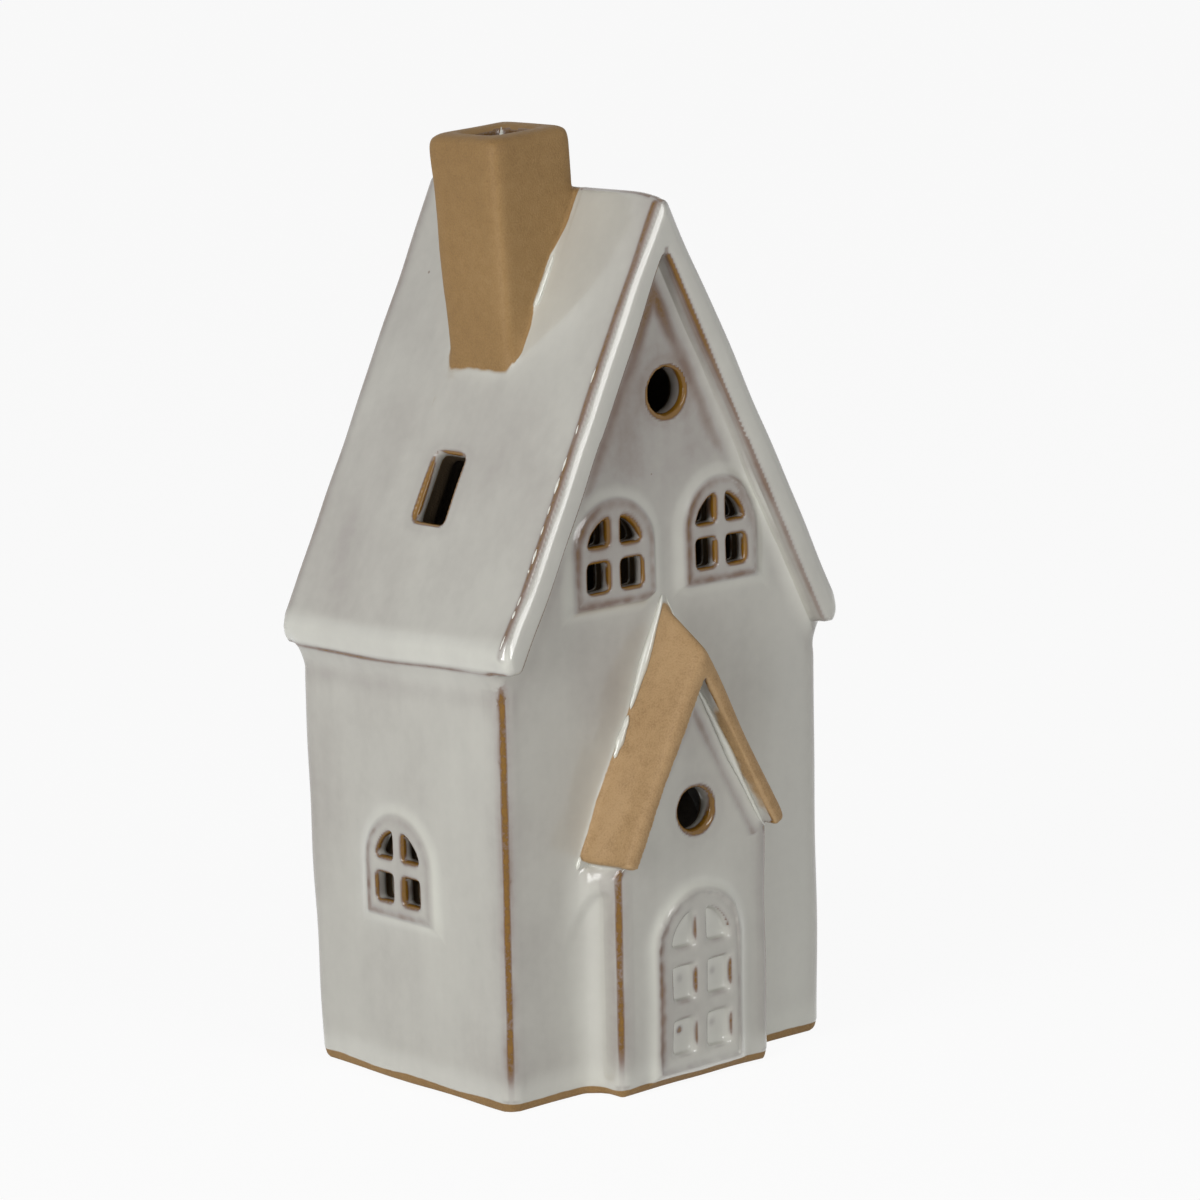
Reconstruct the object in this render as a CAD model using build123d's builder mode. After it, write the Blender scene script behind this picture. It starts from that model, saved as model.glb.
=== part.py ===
"""Tealight house of glazed stoneware, luted together from clay parts, with the tealight that it holds.

Millimetres. +Z is up and the front looks towards -Y. The origin is on the table, in the middle of the four
walls. Left and right are those of a person who looks at the front.
"""

import os
from math import hypot

from build123d import *

# Walls and floor
house_width = 80.0
house_depth = 60.0
wall_height = 84.0
wall_thickness = 4.5
corner_radius = 2.5
floor_thickness = 5.0

# Roof slabs: the flat heel sits on the side walls, the rest on the slopes of the gables
eave_lip = 1.5
eave_slant = 1.7
eave_face = 3.2
eave_seat = 1.3
roof_rise = 85.6
front_overhang = 5.5
back_overhang = 3.0
ridge_radius = 1.2
eave_radius = 1.4
verge_radius = 1.0
verge_tolerance = 0.2

# Skylight in each slope, placed by its middle, which stands above the wall tops by its rise
skylight_width = 9.0
skylight_length = 14.2
skylight_rise = 31.8
skylight_y = -0.8
skylight_corner = 1.2

# Chimney, placed by the middle of its top, leaning out from the ridge that it rises above
chimney_rise = 10.2
chimney_width = 19.4
chimney_depth = 18.6
chimney_wall = 4.6
chimney_x = -11.3
chimney_y = -0.8
chimney_lean_share = 0.06
chimney_corner = 1.8
chimney_rim_radius = 1.6
flue_corner = 1.0

# Arched windows on raised panels, placed by the middle of their sill, which at the front is above the walls
window_width = 19.0
window_height = 19.8
window_frame = 2.5
window_bar = 2.5
window_rows = 2
panel_relief = 1.0
front_sill_rise = 10.6
front_window_pitch = 27.8
front_window_shift = 1.4
side_sill = 32.2
side_window_y = 1.0

# Round vents, the one in the gable placed by its rise above the wall tops
gable_vent_diameter = 9.2
gable_vent_rise = 49.5
gable_vent_x = 2.2
porch_vent_diameter = 8.6
porch_vent_height = 53.6
porch_vent_x = 0.6

# Porch
porch_width = 38.7
porch_depth = 7.9
porch_shoulder = 44.5
porch_peak = 78.7
porch_panel = 4.0
porch_corner = 2.0

# Blind door on the porch, a raised panel with sunk panes
door_width = 20.8
door_height = 34.7
door_sill = 2.8
door_x = -0.2
door_frame = 2.9
door_bar = 3.0
door_rows = 3
door_pane_depth = 1.7

# Porch roof: its ridge falls from the wall to the front
porch_roof_overhang = 4.4
porch_ridge_front = 84.4
porch_ridge_back = 92.7
porch_roof_thickness = 2.9
porch_eave_setback = 1.2
porch_roof_radius = 1.0

# Opening in the back wall
doorway_side_clearance = 2.35
doorway_head_clearance = 0.6
doorway_crown_clearance = 0.55

# Tealight
cup_diameter = 38.4
cup_foot_diameter = 37.4
cup_height = 15.5
cup_skin = 0.4
cup_rim_bead = 0.9
wax_height = 12.4
wick_diameter = 1.8
wick_height = 19.5
sustainer_diameter = 13.0
sustainer_thickness = 0.4
sustainer_neck_diameter = 3.6
sustainer_neck_height = 4.0
tealight_y = 0.0
tealight_gap = 0.2

# Worked out from the above
half_width = house_width / 2
half_depth = house_depth / 2
roof_half_width = half_width + eave_lip + eave_slant
eave_height = wall_height + eave_face
ridge_height = eave_height + roof_rise
roof_pitch = roof_rise / roof_half_width
seat_x = half_width - eave_seat
under_ridge_height = wall_height + roof_pitch * seat_x
chimney_top = ridge_height + chimney_rise
front_sill = wall_height + front_sill_rise
gable_vent_height = wall_height + gable_vent_rise
skylight_height = wall_height + skylight_rise
inner_x = half_width - wall_thickness
inner_y = half_depth - wall_thickness
porch_pitch = (porch_peak - porch_shoulder) / (porch_width / 2)
porch_slope_length = hypot(1, porch_pitch)
porch_bay_x = porch_width / 2 - porch_panel
porch_bay_peak = porch_peak - porch_panel * porch_slope_length
porch_bay_shoulder = porch_bay_peak - porch_pitch * porch_bay_x
porch_heel_x = porch_width / 2 - porch_eave_setback
porch_heel_height = porch_peak - porch_pitch * porch_heel_x
porch_eave_x = porch_heel_x + porch_roof_thickness * porch_pitch / porch_slope_length
porch_eave_height = porch_heel_height + porch_roof_thickness / porch_slope_length
cup_inner_radius = cup_diameter / 2 - cup_skin
cup_inner_foot_radius = cup_foot_diameter / 2 - cup_skin
cup_draft = (cup_inner_radius - cup_inner_foot_radius) / (cup_height - cup_skin)
wax_top_radius = cup_inner_foot_radius + cup_draft * (wax_height - cup_skin)
tealight_z = floor_thickness + tealight_gap
doorway_width = cup_diameter + cup_rim_bead + 2 * doorway_side_clearance
doorway_jamb = tealight_gap + cup_height + cup_rim_bead / 2 + doorway_head_clearance
doorway_height = tealight_gap + wick_height + doorway_crown_clearance

# Planes of the outer faces, each looking out
front_face = Plane.XZ.offset(half_depth)
back_face = Plane.XZ.offset(-half_depth)
left_face = Plane(origin=(-half_width, 0, 0), x_dir=(0, -1, 0), z_dir=(-1, 0, 0))
porch_face = Plane.XZ.offset(half_depth + porch_depth)
porch_verge = Plane.XZ.offset(half_depth + porch_depth + porch_roof_overhang)
skylight_x = (ridge_height - skylight_height) / roof_pitch
left_skylight = (-skylight_x, skylight_y, skylight_height)
right_skylight = (skylight_x, skylight_y, skylight_height)
left_slope = Plane(origin=left_skylight, x_dir=(0, -1, 0), z_dir=(-roof_pitch, 0, 1))
right_slope = Plane(origin=right_skylight, x_dir=(0, 1, 0), z_dir=(roof_pitch, 0, 1))
chimney_plane = Plane.XY.offset(chimney_top)
down_the_flue = (chimney_lean_share, 0, -1)
tealight_section = Plane(origin=(0, tealight_y, tealight_z), x_dir=(1, 0, 0), z_dir=(0, -1, 0))
tealight_axis = Axis((0, tealight_y, tealight_z), (0, 0, 1))


def arch(width, height):
    """Face with a level foot, its middle at the origin, and a round head."""
    with BuildSketch() as face:
        with Locations((0, (height - width / 2) / 2)):
            Rectangle(width, height - width / 2)
        with Locations((0, height - width / 2)):
            Circle(width / 2)
    return face.sketch


def low_arch(width, jamb, height):
    """Face with a level foot, its middle at the origin, upright jambs and a shallow head."""
    with BuildSketch() as face:
        with BuildLine():
            ThreePointArc((-width / 2, jamb), (0, height), (width / 2, jamb))
            Polyline((width / 2, jamb), (width / 2, 0), (-width / 2, 0), (-width / 2, jamb))
        make_face()
    return face.sketch


def parted(field, width, height, rows, bar):
    """The field of an arch, parted by one upright bar and level bars into rows of equal height."""
    row_pitch = (height + bar) / rows
    level_bars = [(0, row_pitch * row - bar / 2) for row in range(1, rows)]
    with BuildSketch() as panes:
        add(field)
        with Locations((0, height / 2)):
            Rectangle(bar, height, mode=Mode.SUBTRACT)
        with Locations(*level_bars):
            Rectangle(width, bar, mode=Mode.SUBTRACT)
    return panes.sketch


def outer_verge(slab, end):
    """Edges of one end face of the roof that belong to its top and its eaves."""
    verge = []
    for edge in slab.faces().sort_by(Axis.Y)[end].edges():
        middle = edge.center()
        underside = max(under_ridge_height - roof_pitch * abs(middle.X), wall_height)
        if middle.Z > underside + verge_tolerance:
            verge.append(edge)
    return verge


def outer_porch_edges(slab):
    """Edges of the porch roof that are free of the wall and lie above its underside."""
    free = []
    for edge in slab.edges():
        middle = edge.center()
        underside = porch_peak - porch_pitch * abs(middle.X)
        if middle.Y < -half_depth - verge_tolerance and middle.Z > underside + verge_tolerance:
            free.append(edge)
    return free


# Profiles that more than one part uses
window_panel = arch(window_width, window_height)
window_field_width = window_width - 2 * window_frame
window_field_height = window_height - 2 * window_frame
window_field = arch(window_field_width, window_field_height)
window_panes = parted(window_field, window_field_width, window_field_height, window_rows, window_bar)
front_window_places = [
    (front_window_shift - front_window_pitch / 2, front_sill),
    (front_window_shift + front_window_pitch / 2, front_sill),
]

doorway = low_arch(doorway_width, doorway_jamb, doorway_height)

door_panel = arch(door_width, door_height)
door_field_width = door_width - 2 * door_frame
door_field_height = door_height - 2 * door_frame
door_field = arch(door_field_width, door_field_height)
door_panes = parted(door_field, door_field_width, door_field_height, door_rows, door_bar)

with BuildSketch() as gable:
    Polygon(
        (-half_width, 0),
        (half_width, 0),
        (half_width, wall_height),
        (seat_x, wall_height),
        (0, under_ridge_height),
        (-seat_x, wall_height),
        (-half_width, wall_height),
    )

with BuildSketch() as roof_section:
    Polygon(
        (0, ridge_height),
        (-roof_half_width, eave_height),
        (-half_width - eave_lip, wall_height),
        (-seat_x, wall_height),
        (0, under_ridge_height),
        (seat_x, wall_height),
        (half_width + eave_lip, wall_height),
        (roof_half_width, eave_height),
    )
    fillet(roof_section.vertices().sort_by(Axis.Y)[-1], ridge_radius)
    fillet([roof_section.vertices().sort_by(Axis.X)[end] for end in (0, -1)], eave_radius)

with BuildSketch() as roof_mass:
    Polygon(
        (0, ridge_height),
        (-roof_half_width, eave_height),
        (-roof_half_width, 0),
        (roof_half_width, 0),
        (roof_half_width, eave_height),
    )
    fillet(roof_mass.vertices().sort_by(Axis.Y)[-1], ridge_radius)

with BuildSketch() as flue:
    with Locations((chimney_x, chimney_y)):
        RectangleRounded(chimney_width - 2 * chimney_wall, chimney_depth - 2 * chimney_wall, flue_corner)

with BuildSketch() as skylight:
    RectangleRounded(skylight_width, skylight_length, skylight_corner)

with BuildSketch() as porch_bay:
    Polygon(
        (-porch_bay_x, floor_thickness),
        (porch_bay_x, floor_thickness),
        (porch_bay_x, porch_bay_shoulder),
        (0, porch_bay_peak),
        (-porch_bay_x, porch_bay_shoulder),
    )

# Floor between the four walls
with BuildPart() as floor_slab:
    with BuildSketch():
        Rectangle(2 * inner_x, 2 * inner_y)
    extrude(amount=floor_thickness)

# Front gable: two windows, a vent, and an opening into the porch
with BuildPart() as front_wall:
    with BuildSketch(front_face):
        add(gable.sketch)
    extrude(amount=-wall_thickness)
    outer_corners = front_wall.edges().filter_by(Axis.Z).group_by(Axis.Y)[0]
    fillet(outer_corners, corner_radius)
    with BuildSketch(front_face):
        with Locations(*front_window_places):
            add(window_panel)
    extrude(amount=panel_relief)
    with BuildSketch(front_face.offset(panel_relief)):
        with Locations(*[(x, z + window_frame) for x, z in front_window_places]):
            add(window_panes)
        with Locations((gable_vent_x, gable_vent_height)):
            Circle(gable_vent_diameter / 2)
        add(porch_bay.sketch)
    extrude(amount=-wall_thickness - panel_relief, mode=Mode.SUBTRACT)

# Back gable with the doorway for the tealight
with BuildPart() as back_wall:
    with BuildSketch(back_face):
        add(gable.sketch)
    extrude(amount=wall_thickness)
    outer_corners = back_wall.edges().filter_by(Axis.Z).group_by(Axis.Y)[-1]
    fillet(outer_corners, corner_radius)
    with BuildSketch(back_face):
        with Locations((0, floor_thickness)):
            add(doorway)
    extrude(amount=wall_thickness, mode=Mode.SUBTRACT)

# Side walls between the gables, of which the left one has a window
with BuildSketch() as side_section:
    Polygon(
        (inner_x, 0),
        (half_width, 0),
        (half_width, wall_height),
        (seat_x, wall_height),
        (inner_x, under_ridge_height - roof_pitch * inner_x),
    )

with BuildPart() as right_wall:
    with BuildSketch(Plane.XZ):
        add(side_section.sketch)
    extrude(amount=inner_y, both=True)

with BuildPart() as left_wall:
    mirror(right_wall.part, about=Plane.YZ)
    with BuildSketch(left_face):
        with Locations((-side_window_y, side_sill)):
            add(window_panel)
    extrude(amount=panel_relief)
    with BuildSketch(left_face.offset(panel_relief)):
        with Locations((-side_window_y, side_sill + window_frame)):
            add(window_panes)
    extrude(amount=-wall_thickness - panel_relief, mode=Mode.SUBTRACT)

# Roof slabs, parted at the ridge
with BuildPart() as roof:
    with BuildSketch(Plane.XZ.offset(half_depth + front_overhang)):
        add(roof_section.sketch)
    extrude(amount=-(house_depth + front_overhang + back_overhang))
    fillet(outer_verge(roof, 0) + outer_verge(roof, -1), verge_radius)

with BuildPart() as left_roof_slab:
    add(split(roof.part, bisect_by=Plane.YZ, keep=Keep.BOTTOM, mode=Mode.PRIVATE))
    with BuildSketch(left_slope):
        add(skylight.sketch)
    extrude(amount=skylight_length, both=True, mode=Mode.SUBTRACT)
    with BuildSketch(chimney_plane):
        add(flue.sketch)
    extrude(amount=ridge_height, dir=down_the_flue, mode=Mode.SUBTRACT)

with BuildPart() as right_roof_slab:
    add(split(roof.part, bisect_by=Plane.YZ, keep=Keep.TOP, mode=Mode.PRIVATE))
    with BuildSketch(right_slope):
        add(skylight.sketch)
    extrude(amount=skylight_length, both=True, mode=Mode.SUBTRACT)

# Chimney on the left slope
with BuildPart() as chimney:
    with BuildSketch(chimney_plane):
        with Locations((chimney_x, chimney_y)):
            RectangleRounded(chimney_width, chimney_depth, chimney_corner)
    extrude(amount=ridge_height, dir=down_the_flue)
    fillet(chimney.faces().sort_by(Axis.Z)[-1].edges(), chimney_rim_radius)
    with BuildSketch(chimney_plane):
        add(flue.sketch)
    extrude(amount=ridge_height, dir=down_the_flue, mode=Mode.SUBTRACT)
    with BuildSketch(Plane.XZ):
        add(roof_mass.sketch)
    extrude(amount=house_depth, both=True, mode=Mode.SUBTRACT)

# Porch: front panel and cheeks, open to the house behind
with BuildPart() as porch_casing:
    with BuildSketch(porch_face):
        Polygon(
            (-porch_width / 2, 0),
            (porch_width / 2, 0),
            (porch_width / 2, porch_shoulder),
            (0, porch_peak),
            (-porch_width / 2, porch_shoulder),
        )
    extrude(amount=-porch_depth)
    fillet(porch_casing.edges().filter_by(Axis.Z).group_by(Axis.Y)[0], porch_corner)
    with BuildSketch(porch_face.offset(-porch_panel)):
        add(porch_bay.sketch)
    extrude(amount=porch_panel - porch_depth, mode=Mode.SUBTRACT)
    with BuildSketch(porch_face):
        with Locations((door_x, door_sill)):
            add(door_panel)
    extrude(amount=panel_relief)
    with BuildSketch(porch_face.offset(panel_relief)):
        with Locations((door_x, door_sill + door_frame)):
            add(door_panes)
    extrude(amount=-door_pane_depth, mode=Mode.SUBTRACT)
    with BuildSketch(porch_face):
        with Locations((porch_vent_x, porch_vent_height)):
            Circle(porch_vent_diameter / 2)
    extrude(amount=-porch_panel, mode=Mode.SUBTRACT)

# Porch roof on the slopes of the porch
with BuildPart() as porch_roof:
    for plane, ridge in ((front_face, porch_ridge_back), (porch_verge, porch_ridge_front)):
        with BuildSketch(plane):
            Polygon(
                (0, ridge),
                (-porch_eave_x, porch_eave_height),
                (-porch_heel_x, porch_heel_height),
                (0, porch_peak),
                (porch_heel_x, porch_heel_height),
                (porch_eave_x, porch_eave_height),
            )
    loft(ruled=True)
    fillet(outer_porch_edges(porch_roof), porch_roof_radius)

# Tealight
with BuildPart() as tealight_cup:
    with BuildSketch(tealight_section):
        Polygon(
            (0, 0),
            (cup_foot_diameter / 2, 0),
            (cup_diameter / 2, cup_height),
            (cup_inner_radius, cup_height),
            (cup_inner_foot_radius, cup_skin),
            (0, cup_skin),
        )
        with Locations((cup_diameter / 2, cup_height)):
            Circle(cup_rim_bead / 2)
    revolve(axis=tealight_axis)

with BuildPart() as wick_sustainer:
    with BuildSketch(tealight_section):
        Polygon(
            (0, cup_skin),
            (sustainer_diameter / 2, cup_skin),
            (sustainer_diameter / 2, cup_skin + sustainer_thickness),
            (sustainer_neck_diameter / 2, cup_skin + sustainer_thickness),
            (sustainer_neck_diameter / 2, cup_skin + sustainer_neck_height),
            (wick_diameter / 2, cup_skin + sustainer_neck_height),
            (wick_diameter / 2, cup_skin + sustainer_thickness),
            (0, cup_skin + sustainer_thickness),
        )
    revolve(axis=tealight_axis)

with BuildPart() as tealight_wick:
    with BuildSketch(tealight_section):
        Polygon(
            (0, cup_skin + sustainer_thickness),
            (wick_diameter / 2, cup_skin + sustainer_thickness),
            (wick_diameter / 2, wick_height),
            (0, wick_height),
        )
    revolve(axis=tealight_axis)

with BuildPart() as tealight_wax:
    with BuildSketch(tealight_section):
        Polygon(
            (0, cup_skin),
            (cup_inner_foot_radius, cup_skin),
            (wax_top_radius, wax_height),
            (0, wax_height),
        )
    revolve(axis=tealight_axis)
    add(wick_sustainer.part, mode=Mode.SUBTRACT)
    add(tealight_wick.part, mode=Mode.SUBTRACT)

# One file for each part
parts = {
    "floor_slab": floor_slab,
    "front_wall": front_wall,
    "back_wall": back_wall,
    "left_wall": left_wall,
    "right_wall": right_wall,
    "left_roof_slab": left_roof_slab,
    "right_roof_slab": right_roof_slab,
    "chimney": chimney,
    "porch_casing": porch_casing,
    "porch_roof": porch_roof,
    "tealight_cup": tealight_cup,
    "wick_sustainer": wick_sustainer,
    "tealight_wick": tealight_wick,
    "tealight_wax": tealight_wax,
}
os.makedirs("parts", exist_ok=True)
for name, builder in parts.items():
    builder.part.label = name
    export_step(builder.part, f"parts/{name}.step")
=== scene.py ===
"""Looks of a glazed stoneware tealight house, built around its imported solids.

The clay parts are luted and fired in the real object, so their solids are merged, softened as fired clay is,
and cut apart again along the joints. Sizes are in millimetres; a mesh is brought to metres when it becomes a piece.
"""

import logging
import math
from dataclasses import dataclass, field
from enum import Enum
from typing import Any

import bmesh
import bpy
import numpy as np
from mathutils import Matrix, Vector
from mathutils.kdtree import KDTree

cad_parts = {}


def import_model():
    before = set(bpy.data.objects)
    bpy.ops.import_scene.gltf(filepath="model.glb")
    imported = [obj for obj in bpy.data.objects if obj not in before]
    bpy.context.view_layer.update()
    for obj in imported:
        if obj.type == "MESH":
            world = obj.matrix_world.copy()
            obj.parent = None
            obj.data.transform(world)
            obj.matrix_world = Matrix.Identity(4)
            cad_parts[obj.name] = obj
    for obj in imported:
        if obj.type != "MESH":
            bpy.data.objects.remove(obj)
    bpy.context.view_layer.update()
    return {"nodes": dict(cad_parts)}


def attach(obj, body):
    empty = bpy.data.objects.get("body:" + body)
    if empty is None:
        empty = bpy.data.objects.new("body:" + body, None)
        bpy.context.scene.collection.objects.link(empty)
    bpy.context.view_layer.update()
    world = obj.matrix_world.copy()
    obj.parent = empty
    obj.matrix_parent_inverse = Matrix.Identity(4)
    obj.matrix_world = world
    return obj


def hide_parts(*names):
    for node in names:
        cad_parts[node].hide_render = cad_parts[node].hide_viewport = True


LOG = logging.getLogger("tealight_house")
METRES = 0.001
Colour = tuple[float, float, float]


class Body(Enum):
    """The bodies that pieces ride on."""

    HOUSE = "house"
    TEALIGHT = "tealight"


class Slot(Enum):
    """Names of the kinds of finish."""

    GLAZE = "glaze"
    BARE_CLAY = "bare_clay"
    ALUMINIUM = "aluminium"
    WAX = "wax"
    WICK = "wick"
    STEEL = "steel"


class Mark(Enum):
    """What each point of the clay carries for its finish, as named attributes."""

    # Thin glaze at edges, which also carries painted shade in the flue, along the soffits and under the eaves.
    EDGE = "edge"
    # Gathered glaze, which also carries painted shade high on the front and back walls and painted light on the roof
    # in front of the chimney.
    POOL = "pool"
    RIM = "rim"
    BARE = "bare"
    # Inside faces, which the finish paints near black as painted shade.
    INDOORS = "indoors"


# ---------------------------------------------------------------------------------------------------- shading


class Value:
    """A number that varies over a surface. Arithmetic on it adds Math nodes."""

    def __init__(self, owner: "Tree", socket: bpy.types.NodeSocket) -> None:
        """Wraps an output socket of the owner's nodes."""
        self.owner = owner
        self.socket = socket

    def _math(self, operation: str, first: Any, second: Any) -> "Value":
        """Adds one Math node.

        Args:
            operation: the node's operation.
            first: a Value or a number.
            second: a Value or a number.

        Returns:
            The result.
        """
        node = self.owner.node("ShaderNodeMath", {"operation": operation}, {0: first, 1: second})
        return Value(self.owner, node.outputs[0])

    def __add__(self, other: Any) -> "Value":
        """Sum."""
        return self._math("ADD", self, other)

    __radd__ = __add__

    def __sub__(self, other: Any) -> "Value":
        """Difference."""
        return self._math("SUBTRACT", self, other)

    def __rsub__(self, other: Any) -> "Value":
        """Difference with the number first."""
        return self._math("SUBTRACT", other, self)

    def __mul__(self, other: Any) -> "Value":
        """Product."""
        return self._math("MULTIPLY", self, other)

    __rmul__ = __mul__

    def __truediv__(self, other: Any) -> "Value":
        """Quotient."""
        return self._math("DIVIDE", self, other)

    def __rtruediv__(self, other: Any) -> "Value":
        """Quotient with the number first."""
        return self._math("DIVIDE", other, self)

    def most(self, other: Any) -> "Value":
        """The larger of the two."""
        return self._math("MAXIMUM", self, other)

    def fade(self, low: float, high: float) -> "Value":
        """A smooth step.

        Args:
            low: where the result is 0.
            high: where the result is 1.

        Returns:
            The step, from 0 to 1.
        """
        node = self.owner.node(
            "ShaderNodeMapRange",
            {"interpolation_type": "SMOOTHSTEP"},
            {"Value": self, "From Min": low, "From Max": high},
        )
        return Value(self.owner, node.outputs[0])


class Tree:
    """Adds nodes to a node tree."""

    def __init__(self, tree: bpy.types.NodeTree) -> None:
        """Starts on an empty tree."""
        self.tree = tree
        tree.nodes.clear()

    def node(
        self,
        kind: str,
        settings: dict[str, Any] | None = None,
        sockets: dict[str | int, Any] | None = None,
    ) -> bpy.types.Node:
        """Adds a node.

        Args:
            kind: the node's type.
            settings: its settings, set before its sockets; stops are a ramp's places and colours.
            sockets: values or links of its inputs, by name or number.

        Returns:
            The node.
        """
        made = self.tree.nodes.new(kind)
        for name, value in (settings or {}).items():
            if name == "stops":
                self._set_stops(made.color_ramp, value)
            else:
                setattr(made, name, value)
        for name, value in (sockets or {}).items():
            target = made.inputs[name]
            if isinstance(value, Value):
                self.tree.links.new(value.socket, target)
            elif isinstance(value, bpy.types.NodeSocket):
                self.tree.links.new(value, target)
            elif target.type == "RGBA":
                target.default_value = (*value, 1.0)
            else:
                target.default_value = value
        return made

    @staticmethod
    def _set_stops(ramp: bpy.types.ColorRamp, stops: list[tuple[float, Colour]]) -> None:
        """Gives a ramp its places and colours."""
        while len(ramp.elements) < len(stops):
            ramp.elements.new(1.0)
        for element, (place, colour) in zip(ramp.elements, stops):
            element.position = place
            element.color = (*colour, 1.0)


class Painter(Tree):
    """Builds the node tree of one material."""

    def place(self, stretch: tuple[float, float, float] = (1, 1, 1)) -> bpy.types.NodeSocket:
        """Object coordinates.

        Args:
            stretch: a factor for each axis, for patterns that run in one direction.

        Returns:
            The coordinates' socket.
        """
        coordinates = self.node("ShaderNodeTexCoord").outputs["Object"]
        if stretch == (1, 1, 1):
            return coordinates
        return self.node("ShaderNodeMapping", {}, {"Vector": coordinates, "Scale": stretch}).outputs[0]

    def mark(self, mark: Mark) -> Value:
        """An attribute that the clay's points carry."""
        return Value(self, self.node("ShaderNodeAttribute", {"attribute_name": mark.value}).outputs["Fac"])

    def noise(self, size: float, detail: float = 2.0, stretch: tuple[float, float, float] = (1, 1, 1)) -> Value:
        """A cloudy pattern from about 0.3 to 0.7.

        Args:
            size: the width of one cloud in millimetres.
            detail: how many finer layers it has.
            stretch: a factor for each axis.

        Returns:
            The pattern.
        """
        sockets = {"Vector": self.place(stretch), "Scale": 1 / (size * METRES), "Detail": detail}
        return Value(self, self.node("ShaderNodeTexNoise", {}, sockets).outputs[0])

    def specks(self, spacing: float, size: float) -> Value:
        """Scattered round specks.

        Args:
            spacing: the mean distance between them in millimetres.
            size: the radius of the largest as a share of the spacing.

        Returns:
            1 in a speck, and 0 elsewhere.
        """
        sockets = {"Vector": self.place(), "Scale": 1 / (spacing * METRES)}
        cells = self.node("ShaderNodeTexVoronoi", {"feature": "F1"}, sockets)
        chance = Value(self, self.node("ShaderNodeSeparateColor", {}, {0: cells.outputs["Color"]}).outputs[0])
        reach = (chance - 0.55).most(0.0) * (size / 0.45)
        return (reach - Value(self, cells.outputs["Distance"])).fade(0.0, size * 0.3)

    def ramp(self, value: Value, stops: list[tuple[float, Colour]]) -> bpy.types.NodeSocket:
        """Colours along a value."""
        return self.node("ShaderNodeValToRGB", {"stops": stops}, {0: value}).outputs[0]

    def blend(self, share: Value, below: Any, above: Any, kind: str = "MIX") -> bpy.types.NodeSocket:
        """Mixes two colours.

        Args:
            share: 0 gives below and 1 gives above.
            below: a colour or its socket.
            above: a colour or its socket.
            kind: the way of mixing.

        Returns:
            The colour's socket.
        """
        settings = {"data_type": "RGBA", "blend_type": kind, "clamp_factor": True}
        return self.node("ShaderNodeMix", settings, {0: share, 6: below, 7: above}).outputs[2]

    def bump(self, height: Value, depth: float, below: bpy.types.NodeSocket | None = None) -> bpy.types.NodeSocket:
        """Relief that is too fine for the mesh.

        Args:
            height: the relief, from 0 to 1.
            depth: its depth in millimetres.
            below: the normal of a coarser relief under it.

        Returns:
            The normal's socket.
        """
        sockets: dict[str | int, Any] = {"Height": height, "Distance": depth * METRES, "Strength": 1.0}
        if below is not None:
            sockets["Normal"] = below
        return self.node("ShaderNodeBump", {}, sockets).outputs[0]

    def surface(self, sockets: dict[str | int, Any]) -> None:
        """Ends the tree in a Principled shader with these inputs."""
        shader = self.node("ShaderNodeBsdfPrincipled", {}, sockets)
        self.node("ShaderNodeOutputMaterial", {}, {"Surface": shader.outputs[0]})


def new_material(name: str) -> tuple[bpy.types.Material, Painter]:
    """Makes a material.

    Args:
        name: its name.

    Returns:
        The material, and a painter on its empty tree.
    """
    material = bpy.data.materials.new(name)
    material.use_nodes = True
    return material, Painter(material.node_tree)


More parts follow.
